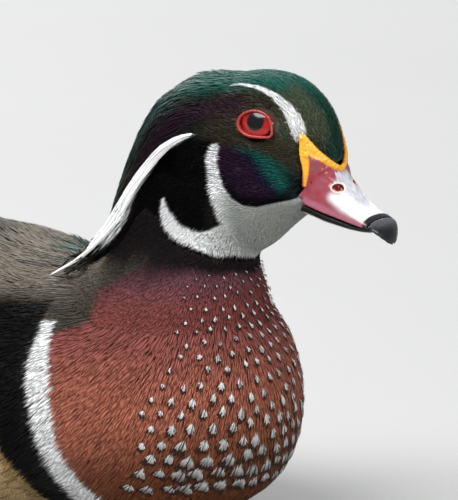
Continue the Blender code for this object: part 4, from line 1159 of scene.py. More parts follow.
class DUCK_OT_breast_coat(Operator):
    """Chestnut breast of fine locks with rows of white spots, and the white and black bars behind it"""

    bl_idname = "duck.breast_coat"
    bl_label = "Breast feathers"

    # Degrees between the spots of a row, the share of them left out, and how far forward the rows' axis is.
    ROW_TURN, LEFT_OUT, AXIS = 8.2, 0.03, 104
    # Heights of the first row and of the rows' end.
    TOP_ROW, ROWS_END = 88.0, 17.0
    # Half width and length of a spot, by height.
    SPOT_SIZES = ((18, 2.9, 4.4), (27, 2.7, 4.9), (35, 2.0, 4.9), (48, 1.15, 4.2), (65, 0.9, 3.0), (78, 0.55, 1.9),
                  (88, 0.3, 1.1))

    def execute(self, context):
        silk = plumage("breast_silk", 0.6, 0.05, contrast=0.12, bump=0.05, Specular_IOR_Level=0.12)
        white = plumage("bar_white", 0.7, 0.0, contrast=0.02, bump=0.03, patches=0.15, Specular_IOR_Level=0.2)
        lifts = (-0.7, 0.75, 1.3, 1.5)

        def area(test, side=0):
            def chosen(surface):
                x, out, up = (surface.middles / MM).T
                found = np.isin(surface.region, ("breast", "torso", "flank", "wing")) & (up > 2)
                found &= test(x, up, *bar_edges(up)) & (x > 14)
                return found & (out * side >= 0)

            return chosen

        def breast(x, up, rear, ahead, black):
            bar = (x > rear + 0.8) & (x < ahead) & (up < BAR_TOP)
            return ~bar & (x > np.where(up > BAR_TOP, 54, black))

        def white_bar(x, up, rear, ahead, black):
            return (x > rear) & (x < ahead + 0.8) & (up < BAR_TOP)

        def shoulder(x, up, rear, ahead, black):
            return (x < 58) & (up > 60)

        for word, side in SIDES:
            coat("breast_feathers_" + word, "breast", area(breast, side), silk, "breast", lifts, lean=0.06,
                 vary=0.08, grain=0.45, crown=0.1, seed=6 + side)
        coat("bar_feathers", "bar", area(white_bar), white, "breast", (-0.7, 0.8, 1.4, 1.6), lean=0.05, vary=0.03,
             grain=0.25, crown=0.05, seed=12)
        coat("shoulder_feathers", "shoulder", area(shoulder), silk, "back", (-0.7, 0.9, 1.7, 2.2), lean=0.1,
             vary=0.08, seed=13)
        self.spots(silk)
        return {"FINISHED"}

    def spots(self, material):
        """Rows of white spots, each a small fan of locks over a dark one that paints its shadow, smaller towards the
        throat.
        """
        rng = np.random.default_rng(SEED + 50)
        surface, starts, kinds = SKIN["surface"], [], []
        level, row = self.TOP_ROW, 0
        while level > self.ROWS_END:
            for k in range(-12, 13):
                turn = (k + 0.5 * (row % 2)) * self.ROW_TURN + rng.uniform(-1, 1)
                limit = np.interp(level, (self.ROWS_END, 45, self.TOP_ROW), (78, 72, 45))
                if abs(turn) > limit or rng.random() < self.LEFT_OUT:
                    continue
                a = math.radians(turn)
                height = level + rng.uniform(-0.7, 0.7)
                origin = Vector((self.AXIS, 0, height)) * MM
                hit = surface.tree.ray_cast(origin, Vector((math.cos(a), math.sin(a), 0)))[0]
                if hit is not None:
                    starts.append(hit)
                    smaller = 1 - 0.35 * smooth(abs(turn), limit - 25, limit)
                    kinds.append((height, rng.uniform(0.85, 1.15) * smaller))
            level -= 3.0 + 0.042 * (self.TOP_ROW - level)
            row += 1
        starts, kinds = np.array(starts), np.array(kinds)
        places, normals, roots = surface.drop(starts)
        levels, halves, lengths = np.array(self.SPOT_SIZES).T
        half = np.interp(kinds[:, 0], levels, halves) * kinds[:, 1]
        length = np.interp(kinds[:, 0], levels, lengths) * kinds[:, 1]
        # The dark fans under the white ones are painted shadows.
        for name, seed, wide, long, lifts, tone in (
            ("breast_spot_shadows", 51, 1.25, 1.3, (0.8, 1.3, 1.5, 1.5), "spot_edge_and_painted_shadow"),
            ("breast_spots", 52, 1.0, 1.0, (0.95, 1.55, 1.8, 1.75), "spot"),
        ):
            self.fans(name, material, places, normals, roots, half * wide, length * long, lifts, tone, seed)

    def fans(self, name, material, places, normals, roots, half, length, lifts, tone, seed):
        """Fans of locks, each lock from near a spot's top to its lower edge."""
        rng = np.random.default_rng(SEED + seed)
        many = np.clip((half * 3.2).astype(int) * 2 + 3, 3, 11)
        spot = np.repeat(np.arange(len(places)), many)
        rank = np.concatenate([np.linspace(-1, 1, n) for n in many])
        way = flat(flow(places), normals)[spot]
        aside = np.cross(normals[spot], way)
        wide, long = half[spot] * MM, length[spot] * MM
        broad = smooth(half[spot], 1.6, 3.0)
        across, along = rank * wide * (0.3 + 0.4 * broad), rank**2 * long * (0.25 + 0.2 * broad)
        begin = places[spot] + aside * across[:, None] + way * along[:, None]
        begin, ups, _ = SKIN["surface"].drop(begin)
        goal = way * (long * (1 - 0.5 * rank**2 + 0.1 * rng.standard_normal(len(rank))))[:, None]
        goal = goal + aside * (rank * wide - across)[:, None]
        shares = [part[0] for part in WEDGE]
        reach = np.linalg.norm(goal, axis=1)
        lines, ups = trails(begin, ups, reach, shares, [lift * MM for lift in lifts], unit(goal), follow=False)
        pale = np.where(rng.random(len(rank)) < 0.24, 0.18, 1.0) * rng.uniform(0.7, 1.1, len(rank))
        grey = np.interp(half[spot], (0.5, 2.5), (1.3, 0.75))
        shade = pale * grey if tone == "spot" else np.ones(len(rank))

        def tint(at, u, v, number):
            if tone != "spot":
                return plain(tone, v)
            edge = smooth(v, 0.75 - 0.3 * broad[number], 1.0)
            return mix(colour(tone) * shade[number][:, None], colour("spot_edge_and_painted_shadow") * 1.6, 0.85 * edge)

        half = 0.95 * wide / np.maximum(many[spot] - 1, 2) * 1.5
        made = feathers(name, lines, ups, half, WEDGE, tint, roots[spot], material, crown=0.1)


class DUCK_OT_body_coat(Operator):
    """Contour feathers of the mantle, back, flanks, belly and rump"""

    bl_idname = "duck.body_coat"
    bl_label = "Body feathers"

    def execute(self, context):
        soft = plumage("body_soft", 0.6, 0.1, barbs=22.0, contrast=0.3, shaft=0.5)
        lined = plumage("flank_lines", 0.6, 0.0, barbs=26.0, contrast=0.15, lines=11.0)
        lifts = (-1.0, 1.0, 1.7, 2.1, 2.4, 2.5)

        def area(test, *regions):
            def chosen(surface):
                x, out, up = folded(surface.middles / MM).T
                return np.isin(surface.region, regions) & test(x, out, up, bar_edges(up)[2])

            return chosen

        mantle = area(lambda x, out, up, black: (x <= 20) & (up > 60) & (x > np.where(out < 12, -70, -44)),
                      "torso", "wing", "breast")
        flank = area(lambda x, out, up, black: (x < black + 2) & (up <= 75), "flank", "torso")
        belly = area(lambda x, out, up, black: (up <= 40) & (x > -90) & ((x < black - 1) | ((up < 6) & (x < 118))),
                     "torso", "breast")
        rump = area(lambda x, out, up, black: (x < -64) & ((out < 9) | (up < 62) | (x < -100)),
                    "torso", "tail", "wing")

        def small_in_front(points):
            return 0.75 + 0.25 * smooth(-points[:, 0] / MM, -20, 5)

        def below_rows(points, normals):
            """False where the large barred feathers cover the flank's top."""
            x, out, up = folded(points / MM).T
            turn = np.degrees(np.arctan2(up - looked_up(x, BODY_MIDDLE), out))
            return (turn < 3) | (x > 26) | (x < -106)

        made = dict(profile=CONTOUR, grain=0.6, crown=0.12, lean=0.08, ribs=5)
        coat("mantle_feathers", "mantle", mantle, soft, "back", lifts, size=small_in_front, seed=7, **made)
        coat("flank_feathers", "flank", flank, lined, "flank", (-1.0, 0.7, 1.2, 1.5, 1.7, 1.75), keep=below_rows,
             ruffle=0.03, vary=0.05, seed=8, **made)
        coat("belly_feathers", "belly", belly, soft, "back", (-0.8, 0.6, 0.95, 1.15, 1.3, 1.35), ruffle=0.03,
             seed=9, **made)
        coat("rump_feathers", "rump", rump, soft, "tail", lifts, seed=10, **made)
        return {"FINISHED"}


def laid(side, start, end):
    """Centre line over the skin between two places, each its forward place, angle up from the side and lift."""
    rows = read_along((start, end), STATIONS)
    on_skin = [SKIN["surface"].on_side(x, degrees, side) for x, degrees, _ in rows]
    places, normals, roots = SKIN["surface"].drop(np.array(on_skin))
    normals = evenly_turned(normals, 2)
    return places + normals * rows[:, 2:] * MM, normals, roots[0]


def bowed(root, tip, up_root, up_tip, bulge):
    """Centre line through the air from a root on the skin to a tip, in one gentle bow."""
    share = STATIONS[:, None]
    ups = unit(up_root * (1 - share) + up_tip * share)
    return root * (1 - share) + tip * share + ups * bulge * 4 * share * (1 - share), ups


def arched(start, side, lift, tip, face, least):
    """Centre line, outward directions and root of a feather that arches from the back, some mm clear of it."""
    skin = SKIN["surface"]
    root, up, at = skin.drop(skin.on_side(*start, side)[None])
    line, ups = bowed(root[0] + up[0] * lift * MM, tip, up[0], face, 5 * MM)
    places, normals, _ = skin.drop(line)
    short = least * MM * smooth(STATIONS, 0.0, 0.45) - ((line - places) * normals).sum(axis=1)
    short = np.clip(short, 0, 8 * MM)
    for _ in range(4):
        short[1:-1] = np.maximum(short[1:-1], (short[:-2] + short[2:]) / 2)
    return line + ups * short[:, None], ups, at[0]


def quills(name, material, made, halves, tones, seed, profile=QUILL, crown=0.12, ribs=9, wall=0.22, vary=0.08):
    """Large feathers, each told by its own centre line, outward directions and root on the unwrap."""
    rng = np.random.default_rng(SEED + seed)
    lines, ups, roots = (np.array(part) for part in zip(*made))
    half = np.array(halves) * MM
    shade = 1 + vary * rng.standard_normal(len(lines))

    def tint(places, u, v, number):
        return tones(u, v, number) * shade[number][:, None]

    obj = feathers(name, lines, ups, half, profile, tint, roots, material, ribs, crown, wall * MM)
    return obj


def banded(base, *bands):
    """Tones along a feather: each band is a colour, where it starts and how soft its start is."""

    def tones(u, v, number):
        found = plain(base, v)
        bend = v + 0.12 * (2 * u - 1) ** 2
        for name, start, blur in bands:
            found = mix(found, colour(name), smooth(bend, start - blur, start + blur))
        return found

    return tones


class DUCK_OT_flank_rows(Operator):
    """Large barred feathers along the top of each flank, and the drawn-out ones at its rear"""

    bl_idname = "duck.flank_rows"
    bl_label = "Flank rows"

    def execute(self, context):
        barred = plumage("flank_barred", 0.6, 0.0, barbs=50.0, contrast=0.2, shaft=0.3)
        bars = banded("buff", ("deep_black", 0.6, 0.02), ("white", 0.7, 0.015), ("deep_black", 0.88, 0.015))
        dusky = banded("buff", ("flank_line", 0.85, 0.1))
        for word, side in SIDES:
            rows = [laid(side, (34 - 8.5 * k, 4, 0.5 if k else -0.4), (8 - 8.5 * k, 8.5, 4.2)) for k in range(14)]
            halves = [8.6 - 0.4 * max(k - 7, 0) for k in range(14)]
            quills("flank_row_" + word, barred, rows, halves, bars, 20, profile=BLUNT)
            rows = [
                laid(side, (-58 - 3 * k, 4 - 8 * k, 0.4), (-100 - 2 * (k % 2), 20 - 8 * k, 2.6)) for k in range(5)
            ]
            rear = quills("flank_rear_" + word, barred, rows, [4.2] * 5, dusky, 21)
            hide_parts("flank_" + word)
        return {"FINISHED"}


class DUCK_OT_wings(Operator):
    """Folded wings: shoulder feathers, coverts, blue secondaries, long inner feathers and primaries"""

    bl_idname = "duck.wings"
    bl_label = "Wings"

    # Rows of shoulder feathers and coverts: degrees up from the side, the first one's front, how many.
    ROWS = ((27, 26, 5), (36, 32, 6), (45, 36, 7), (54, 40, 8), (63, 42, 9), (73, 44, 10), (84, 46, 11))

    def execute(self, context):
        rng = np.random.default_rng(SEED + 60)
        gloss = plumage("wing_gloss", 0.42, 0.4, barbs=70.0, contrast=0.25, shaft=0.5)
        for word, side in SIDES:
            rows, halves = [], []
            for degrees, front, count in self.ROWS:
                for k in range(count):
                    x, turn = front - 8.2 * k + rng.uniform(-1.2, 1.2), degrees + rng.uniform(-1.2, 1.2)
                    rows.append(laid(side, (x, turn, 0.6), (x - 35, turn + 0.5, 3.3)))
                    halves.append(rng.uniform(7.4, 8.6))
            tones = banded("scapular", ("tertial_blue", 0.6, 0.3), ("deep_black", 0.93, 0.05))
            quills("scapulars_" + word, gloss, rows, halves, tones, 22, profile=BLUNT)
            rows = [
                laid(side, (-14 - k, 31 + 2.6 * k, 0.3 + 0.35 * k), (-76 + 2 * k, 30 + 2.6 * k, 1.2 + 0.45 * k))
                for k in range(7)
            ]
            tones = banded("scapular", ("speculum", 0.3, 0.1), ("deep_black", 0.84, 0.02))
            quills("secondaries_" + word, gloss, rows, [5.6] * 7, tones, 24)
            rows = []
            for k in np.arange(0, 4, 0.55):
                tip = np.array((-119 + 8 * k, side * (11 + 6 * k), 91.0 - 1.3 * k)) * MM
                face = np.array((0, side * (0.35 + 0.12 * k), 0.85))
                rows.append(arched((-22 - 5 * k, 64 - 6 * k), side, 0.6, tip, face, 3.4 - 0.3 * k))
            tones = banded("scapular", ("tertial_blue", 0.35, 0.3), ("deep_black", 0.85, 0.08))
            quills("tertials_" + word, gloss, rows, [8.0] * len(rows), tones, 25)
            rows, face = [], np.array((0, side * 0.66, 0.75))
            for k in np.arange(0, 5, 0.7):
                tip = np.array((-139 + 6.5 * k, side * (13.5 - 0.4 * k), 82.0 + 0.2 * k)) * MM + face * 1.1 * MM * k
                rows.append(arched((-20 - 4 * k, 36 + 6 * k), side, 0.4, tip, face, 1.6))

            def silvered(u, v, number):
                outer = u if side > 0 else 1 - u
                silver = smooth(outer, 0.55, 0.68) * smooth(v, 0.3, 0.5) * (1 - smooth(v, 0.88, 0.95))
                return mix(plain("primary", v), colour("silver"), silver)

            made = quills("primaries_" + word, gloss, rows, [5.8] * len(rows), silvered, 26)
            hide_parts("wing_" + word)
        return {"FINISHED"}


# The tail: its root, length, rise, pairs of long feathers, and how far each lies under the one before, in mm.
TAIL_ROOT = np.array((-112.0, 0.0, 66.0)) * MM
TAIL_LENGTH, TAIL_RISE, TAIL_PAIRS, TAIL_STEP = 88.3 * MM, math.radians(15.0), 6, 1.3


def tail_point(share, across, level):
    """A point of the tail, in its own slope: share of its length, then mm across and mm above its middle."""
    along = np.array((-math.cos(TAIL_RISE), 0, math.sin(TAIL_RISE)))
    up = np.array((math.sin(TAIL_RISE), 0, math.cos(TAIL_RISE)))
    return TAIL_ROOT + along * TAIL_LENGTH * share + np.array((0, across * MM, 0)) + up * level * MM


class DUCK_OT_tail(Operator):
    """The broad dark tail: its long feathers, and the coverts over and under their roots"""

    bl_idname = "duck.tail"
    bl_label = "Tail"

    def execute(self, context):
        gloss = plumage("tail_gloss", 0.4, 0.4, barbs=80.0, contrast=0.3, shaft=0.6)

        def made(root, tip, tilt, bulge):
            face = unit(np.array((math.sin(TAIL_RISE), tilt, math.cos(TAIL_RISE))))
            line, ups = bowed(tail_point(*root), tail_point(*tip), face, face, bulge * MM)
            return line, ups, SKIN["surface"].drop(line[:1])[2][0]

        rows = []
        for side in (-1, 1):
            for k in range(TAIL_PAIRS):
                spread = side * (k + 0.5) / (TAIL_PAIRS - 0.5)
                level = 3.4 - TAIL_STEP * (k + (0.5 if side < 0 else 0.0))
                tip = (1 - 0.16 * abs(spread) ** 1.5, spread * 26, level - 4 * spread**2)
                rows.append(made((0.0, spread * 8, level), tip, 0.32 * spread, 0.4))
        tones = banded("tail", ("tertial_bronze", 0.5, 0.4))
        tail = quills("tail_feathers", gloss, rows, [7.6] * len(rows), tones, 27, profile=BLUNT, crown=0.05)
        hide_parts("tail")
        for name, levels, tone in (
            ("tail_coverts", (4.6, 5.8), "tail"),
            ("undertail_coverts", (-15.0, -8.6), "undertail"),
        ):
            rows, sign = [], math.copysign(1, levels[0])
            for reach, count in ((0.3, 7), (0.42, 7), (0.54, 6)):
                for spread in np.linspace(-1, 1, count):
                    drop = abs(spread)
                    start = (reach - 0.36, spread * 12, levels[0] + (1.4 if sign < 0 else -1.0) * drop)
                    end = (reach - 0.1 * drop, spread * 17, levels[1] - (0.6 if sign < 0 else 2.4) * drop)
                    line, ups, root = made(start, end, 0.6 * spread * sign, 0.8 * sign)
                    rows.append((line, ups * sign, root))
            quills(name, gloss, rows, [5.4] * len(rows), banded(tone), 28, crown=0.15)
        return {"FINISHED"}


def off_opening(x, up):
    """How far a place on the head lies from the middle of the lids' opening: 1 on its edge."""
    forward, level, long, high = EYE_OPENING
    return ((x - forward) / long) ** 2 + ((up - level) / high) ** 2


def lid_slope(x, up):
    """How far out the slanting plane of the lids lies, in the head's axes."""
    return 15.3 - 0.17 * x - 0.22 * up


class DUCK_OT_eyes(Operator):
    """Both eyeballs: a red iris round a black pupil under a clear glossy surface"""

    bl_idname = "duck.eyes"
    bl_label = "Eyes"

    def execute(self, context):
        wet = dict(Coat_Weight=0.6, Coat_Roughness=0.02, Specular_IOR_Level=0.2)
        glass = tinted("eye_glass", 0.15, 900.0, 0.5, 0.02, **wet)
        for word, side in SIDES:
            centre = from_head(np.array((EYEBALL[0], side * EYEBALL[1], EYEBALL[2])))
            bpy.ops.mesh.primitive_uv_sphere_add(
                segments=96,
                ring_count=96,
                radius=EYEBALL_RADIUS * MM,
                location=centre,
                rotation=(-side * math.pi / 2, 0, HEAD_TURN),
            )
            eye = context.active_object
            bpy.ops.object.transform_apply(location=True, rotation=True, scale=True)
            shaped(eye, lambda p, n: self.broader(p, np.array(centre)))
            shaped(eye, lambda p, n: self.behind_lids(p, side))
            set_tint(eye.data, self.iris(read(eye.data.vertices, "co", 3), centre, side))
            eye.data.shade_smooth()
            finished(eye, "eyeball_" + word, glass, "eye", "eye_" + word)
        return {"FINISHED"}

    def broader(self, places, centre):
        """The ball drawn wider than it is deep, so that it fills its opening."""
        apart = turned(places - centre, -HEAD_TURN) * (1.3, 1.0, 1.3)
        return centre + turned(apart, HEAD_TURN)

    def behind_lids(self, places, side):
        """The ball's front kept just behind the lids' slope, a little domed inside their opening."""
        x, out, up = folded(to_head(places)).T
        off = off_opening(x, up)
        dome = (1 - off) * np.where(off < 1, 1.2, 5.0)
        over = np.maximum(out - (lid_slope(x, up) - 0.4 + dome), 0)
        inward = np.minimum(over, 7) * (out > 8)
        return places - turned(np.array((0, side * MM, 0)), HEAD_TURN) * inward[:, None]

    def off_gaze(self, places, centre, side):
        """Distance of each place from the line of the eye's gaze, in mm."""
        gaze = turned(unit(np.array((GAZE[0], side * GAZE[1], GAZE[2]))), HEAD_TURN)
        apart = (places - centre) / MM
        along = apart @ gaze
        return np.where(along > 0, np.linalg.norm(apart - along[:, None] * gaze, axis=1), 20.0)

    def iris(self, places, centre, side):
        off = self.off_gaze(places, centre, side)
        up = (places[:, 2] - centre[2]) / MM
        # Painted shade: the iris darkens towards its top, as if shaded by the upper lid.
        red = mix(colour("dark_red_and_painted_shade"), colour("iris_red"), smooth(-up, -4.2, -0.5))
        red = mix(red, colour("iris_red") * 0.45, 0.7 * smooth(-off, -3.5, -2.9))
        red = mix(red, colour("dark_red_and_painted_shade"), smooth(off, 5.2, 5.8))
        red = mix(red, colour("deep_black"), smooth(off, 6.0, 6.6))
        x, _, level = to_head(places).T
        red = mix(red, colour("face_brown"), smooth(off_opening(x, level), 1.0, 1.2))
        return mix(plain("deep_black", places), red, smooth(off, 2.95, 3.15))


class DUCK_OT_lids(Operator):
    """The bare red ring round each eye, wrinkled and drawn out to a low corner in front"""

    bl_idname = "duck.lids"
    bl_label = "Eyelids"

    def execute(self, context):
        skin = tinted("lid_skin", 0.38, 700.0, 0.35, 0.25, Coat_Weight=0.3)
        for word, side in SIDES:
            bpy.ops.mesh.primitive_torus_add(
                major_segments=160, minor_segments=20, major_radius=1.0, minor_radius=0.25, location=(0, 0, 0)
            )
            lid = context.active_object
            shaped(lid, lambda p, n: self.ring(p, side))
            if side > 0:
                in_edit_mode(lid, bpy.ops.mesh.flip_normals)
            set_tint(lid.data, self.tone(read(lid.data.vertices, "co", 3)))
            lid.data.shade_smooth()
            finished(lid, "eyelid_" + word, skin, "lid", "eyelids_" + word)
        return {"FINISHED"}

    def ring(self, places, side):
        """The lids' edge: a rounded opening drawn out to a low corner in front, its lip turned in to the eye."""
        x, y, z = places.T
        angle = np.arctan2(y, x)
        around = np.arctan2(z, np.hypot(x, y) - 1.0)
        corner = np.maximum(np.cos(angle + 0.6), 0) ** 8
        forward = 0.6 + 6.0 * np.cos(angle) + 1.5 * corner
        up = 0.2 + 4.2 * np.sin(angle) - 1.1 * corner
        out = lid_slope(forward, up)
        wrinkles = 1 + 0.08 * np.sin(angle * 34 + 3 * np.sin(angle * 5)) + 0.05 * np.sin(angle * 61)
        thick = 0.44 * (1 + 0.15 * smooth(-np.sin(angle), -0.2, 0.8)) * wrinkles
        forward = forward + np.cos(angle) * np.cos(around) * thick
        up = up + np.sin(angle) * np.cos(around) * thick
        lip = smooth(-np.cos(around), 0.1, 0.9) * smooth(-np.sin(around), -0.3, 0.6)
        out = out + np.sin(around) * thick - lip * 1.3
        return from_head(np.stack([forward, side * out, up], axis=1))

    def tone(self, places):
        x, out, up = folded(to_head(places)).T
        inner = smooth(lid_slope(x, up) - out, 0.2, 1.3)
        return mix(plain("lid_red", places), colour("dark_red_and_painted_shade"), 0.9 * inner)


class DUCK_OT_bill(Operator):
    """The bill: yellow lobes at its base, pink, red and white sides, a grey ridge, nail and lower bill"""

    bl_idname = "duck.bill"
    bl_label = "Bill"

    # Strokes over the bill, as for the head's markings: bands raised round its base, then its colours.
    RIM = ((16.0, 10.7, -2.4, 0.9), (17.0, 10.3, -3.6, 1.7), (18.4, 9.6, -6.2, 2.3), (20.3, 8.4, -8.2, 1.9),
           (22.2, 6.6, -10.0, 1.5), (23.8, 4.6, -11.8, 1.25), (24.9, 2.6, -13.3, 1.1), (25.4, 0.0, -14.4, 1.0))
    SADDLE = ((19.5, 10.0, -10.5, 1.5), (21.5, 8.2, -12.0, 2.2), (23.3, 6.4, -13.8, 2.6), (24.8, 4.2, -15.2, 2.6),
              (25.8, 2.0, -16.0, 2.5), (26.2, 0.0, -16.4, 2.5))
    SEAM = ((21.0, 9.0, -11.5, 1.2), (19.8, 10.2, -14.0, 1.3), (19.3, 10.5, -17.0, 1.3), (18.6, 10.6, -20.0, 1.2))
    # The bill's rear edge along the cheek: height, forward place.
    REAR = ((-25, 14.8), (-23, 16.0), (-21, 17.0), (-18, 17.6), (-15, 18.0), (-12, 17.6), (-9, 16.9), (-4, 16.2))
    LOBE = ((17.6, 10.6, -6.0, 1.9), (18.2, 11.2, -9.0, 1.6), (18.9, 11.1, -12.0, 1.2), (19.0, 11.1, -15.0, 0.85),
            (18.5, 11.0, -19.5, 0.45))
    FILL = ((17.4, 10.6, -5.0, 1.6), (18.4, 10.4, -7.6, 1.6), (18.8, 10.4, -9.6, 0.9))
    WHITE = ((27.5, 7.4, -22.8, 1.4), (31.0, 5.6, -24.6, 3.0), (40.5, 2.5, -28.6, 4.6))
    RED = ((18.6, 10.8, -20.0, 1.5), (21.0, 9.6, -16.0, 1.1), (23.5, 7.6, -15.5, 0.8))
    EDGE = ((17.0, 10.4, -24.2, 1.0), (23.5, 9.3, -26.4, 1.2), (30.3, 8.3, -28.8, 1.1), (39.8, 8.1, -31.2, 0.9))
    RIDGE = ((26.0, 0.0, -15.5, 2.6), (27.4, 0.6, -17.8, 4.2), (30.5, 0.6, -21.0, 3.6), (34.5, 0.6, -24.4, 2.4),
             (36.6, 0.4, -25.8, 0.5))
    NOSTRIL = (27.6, 4.5, -19.9)
    NAIL_START = 39.9

    def execute(self, context):
        wet = tinted("bill_skin", 0.3, 420.0, 0.3, 0.12, Coat_Weight=0.3, Specular_IOR_Level=0.4)
        black = tinted("bill_black", 0.28, 400.0, 0.6, 0.15, Coat_Weight=0.3, Specular_IOR_Level=0.3)
        upper = copy_of(["bill_upper"], "bill")
        bands = [self.band(self.both_sides(line), rise) for line, rise in ((self.RIM, 0.8), (self.SADDLE, 0.45))]
        for _, side in SIDES:
            for line, rise in ((self.SEAM, 0.3), (self.FILL, 0.7)):
                bands.append(self.band(np.array(line) * (1, side, 1, 1), rise))
        select_only(upper, *bands)
        bpy.ops.object.join()
        upper = remeshed(upper, 0.3 * MM, 9)
        shaped(upper, self.relief)
        set_tint(upper.data, self.paint(read(upper.data.vertices, "co", 3)))
        finished(upper, "bill", wet, "bill", "bill_upper")
        for node, name in (("bill_nail", "nail"), ("bill_lower", "lower_bill")):
            piece = remeshed(copy_of([node], name), 0.32 * MM, 6)
            points = read(piece.data.vertices, "co", 3)
            facing = read(piece.data.vertices, "normal", 3)[:, 2]
            # Painted reflection: the upward-facing top of the nail, short of its tip, is painted grey over the black
            # horn.
            grey_patch = 0.13 * smooth(facing, 0.35, 0.85) * (1 - smooth(to_head(points)[:, 0], 43.5, 46.5))
            set_tint(piece.data, mix(plain("bill_black", points), colour("bill_grey"), grey_patch * (name == "nail")))
            finished(piece, name, black, "nail", node)
        return {"FINISHED"}

    def both_sides(self, half):
        return np.concatenate([np.array(half) * (1, -1, 1, 1), np.array(half)[-2::-1]])

    def band(self, line, height):
        """A low rounded band along a line over the solid head and bill."""
        count, sides = 120, 20
        line = evened(read_along(line, np.linspace(0, len(line) - 1, count)), 4)
        tree = node_tree(["head", "bill_upper"])
        found = [tree.find_nearest(Vector(place)) for place in from_head(line[:, :3])]
        centres = np.array([f[0] for f in found])
        ups = evenly_turned(np.array([f[1] for f in found]), 6)
        across = unit(np.cross(np.gradient(centres, axis=0), ups))
        a = np.arange(sides) * 2 * math.pi / sides
        rings = centres[:, None] + across[:, None] * np.cos(a)[None, :, None] * line[:, 3, None, None] * MM
        rings = rings + ups[:, None] * np.sin(a)[None, :, None] * height * MM
        row, k = np.meshgrid(np.arange(count - 1), np.arange(sides), indexing="ij")
        first, second = (row * sides + k).ravel(), (row * sides + (k + 1) % sides).ravel()
        quads = np.stack([first, second, second + sides, first + sides], axis=1)
        fan = np.arange(1, sides - 1)
        caps = np.concatenate([
            np.stack([fan * 0, fan + 1, fan], axis=1),
            np.stack([fan * 0, fan, fan + 1], axis=1) + (count - 1) * sides,
        ])
        return new_mesh_object("band", rings.reshape(-1, 3), quads, caps)[0]

    def nostril(self, p):
        """Distance from the nostril's middle as a share of its size."""
        x, out, up = (p - self.NOSTRIL).T
        return np.sqrt(((0.9 * x - 0.43 * up) / 1.6) ** 2 + ((0.43 * x + 0.9 * up) / 1.0) ** 2 + (out / 2.6) ** 2)

    def relief(self, places, normals):
        """Low wrinkles over the rim, the open nostril with its raised edge, and a soft hollow along the side."""
        p = folded(to_head(places))
        x, out, up = p.T
        rise = 0.08 * np.sin(x * 4.6 - up * 2.4 + np.sin(out * 3)) * stroke(p, self.RIM, 0.6)
        rise = rise + 0.05 * np.sin(up * 5.1 + x * 1.3) * stroke(p, self.LOBE, 0.6)
        hole = self.nostril(p)
        rise = rise + 0.15 * np.exp(-(((hole - 1.4) / 0.3) ** 2)) - 0.8 * smooth(-hole, -1.15, -0.75)
        behind = 2.8 * smooth(looked_up(up, self.REAR) - x, 0.0, 0.5)
        inward = turned(np.stack([x * 0, -np.sign(to_head(places)[:, 1]), x * 0], axis=1), HEAD_TURN)
        return places + normals * (rise * MM)[:, None] + inward * (behind * MM)[:, None]

    def paint(self, places):
        p = folded(to_head(places))
        x, out, up = p.T
        patches = 0.5 + 0.5 * np.sin(x * 1.1 + 2.1 * np.sin(up * 0.7)) * np.sin(up * 1.3 + 1.7 * np.sin(x * 0.6))
        paint = mix(colour("bill_pink"), colour("bill_red"), 0.75 * patches * (1 - smooth(x, 23, 29)))
        paint = mix(paint, colour("bill_red"), 0.85 * stroke(p, self.RED, 1.0))
        paint = mix(paint, colour("bill_white"), stroke(p, self.WHITE, 1.7))
        paint = mix(paint, colour("bill_white"), smooth(x, 25.5, 29) * smooth(-out, -6.5, -4.5))
        paint = mix(paint, colour("bill_rose"), 0.9 * stroke(p, self.EDGE, 0.8))
        jagged = 0.5 * np.sin(x * 2.3 + out * 1.9) + 0.4 * np.sin(out * 4.1 - x * 1.2)
        ridge, share, _ = along_line(p, np.array(self.RIDGE)[:, :3])
        wide = np.interp(share, range(len(self.RIDGE)), [row[3] for row in self.RIDGE])
        grey_patch = colour("bill_grey") * (1 + 0.25 * jagged)[:, None]
        paint = mix(paint, grey_patch, 0.85 * smooth(wide + jagged - ridge, -0.3, 0.5))
        edge = np.maximum.reduce([stroke(p, line, 0.5) for line in (self.RIM, self.LOBE, self.FILL)])
        base = mix(colour("bill_orange"), colour("bill_yellow"), smooth(edge, 0.35, 0.9))
        paint = mix(paint, base, smooth(edge, 0.1, 0.6))
        hole = self.nostril(p)
        paint = mix(paint, colour("bill_yellow") * 0.3 + 0.5, smooth(-hole, -1.5, -1.35))
        # Painted shade: the nostril's opening is its own red darkened to half, as shade in the hole.
        paint = mix(paint, colour("bill_red") * 0.5, smooth(-hole, -1.2, -1.05))
        return mix(paint, colour("bill_black"), smooth(x, self.NAIL_START - 0.2, self.NAIL_START + 0.2))


class DUCK_OT_feet(Operator):
    """Legs, webs and claws, tucked flat under the body"""

    bl_idname = "duck.feet"
    bl_label = "Legs and feet"

    def execute(self, context):
        scales = tinted("leg_scales", 0.5, 500.0, 0.5, 0.6)
        for word, _ in SIDES:
            leg = remeshed(copy_of(["leg_" + word], "leg"), 0.6 * MM, 3)
            places = read(leg.data.vertices, "co", 3)
            x, _, up = (places / MM).T
            web = smooth(x, -22, -12) * (1 - smooth(up, 1.9, 2.6))
            set_tint(leg.data, mix(plain("leg", places), colour("web"), web))
            finished(leg, "foot_" + word, scales, "leg", "leg_" + word)
        return {"FINISHED"}


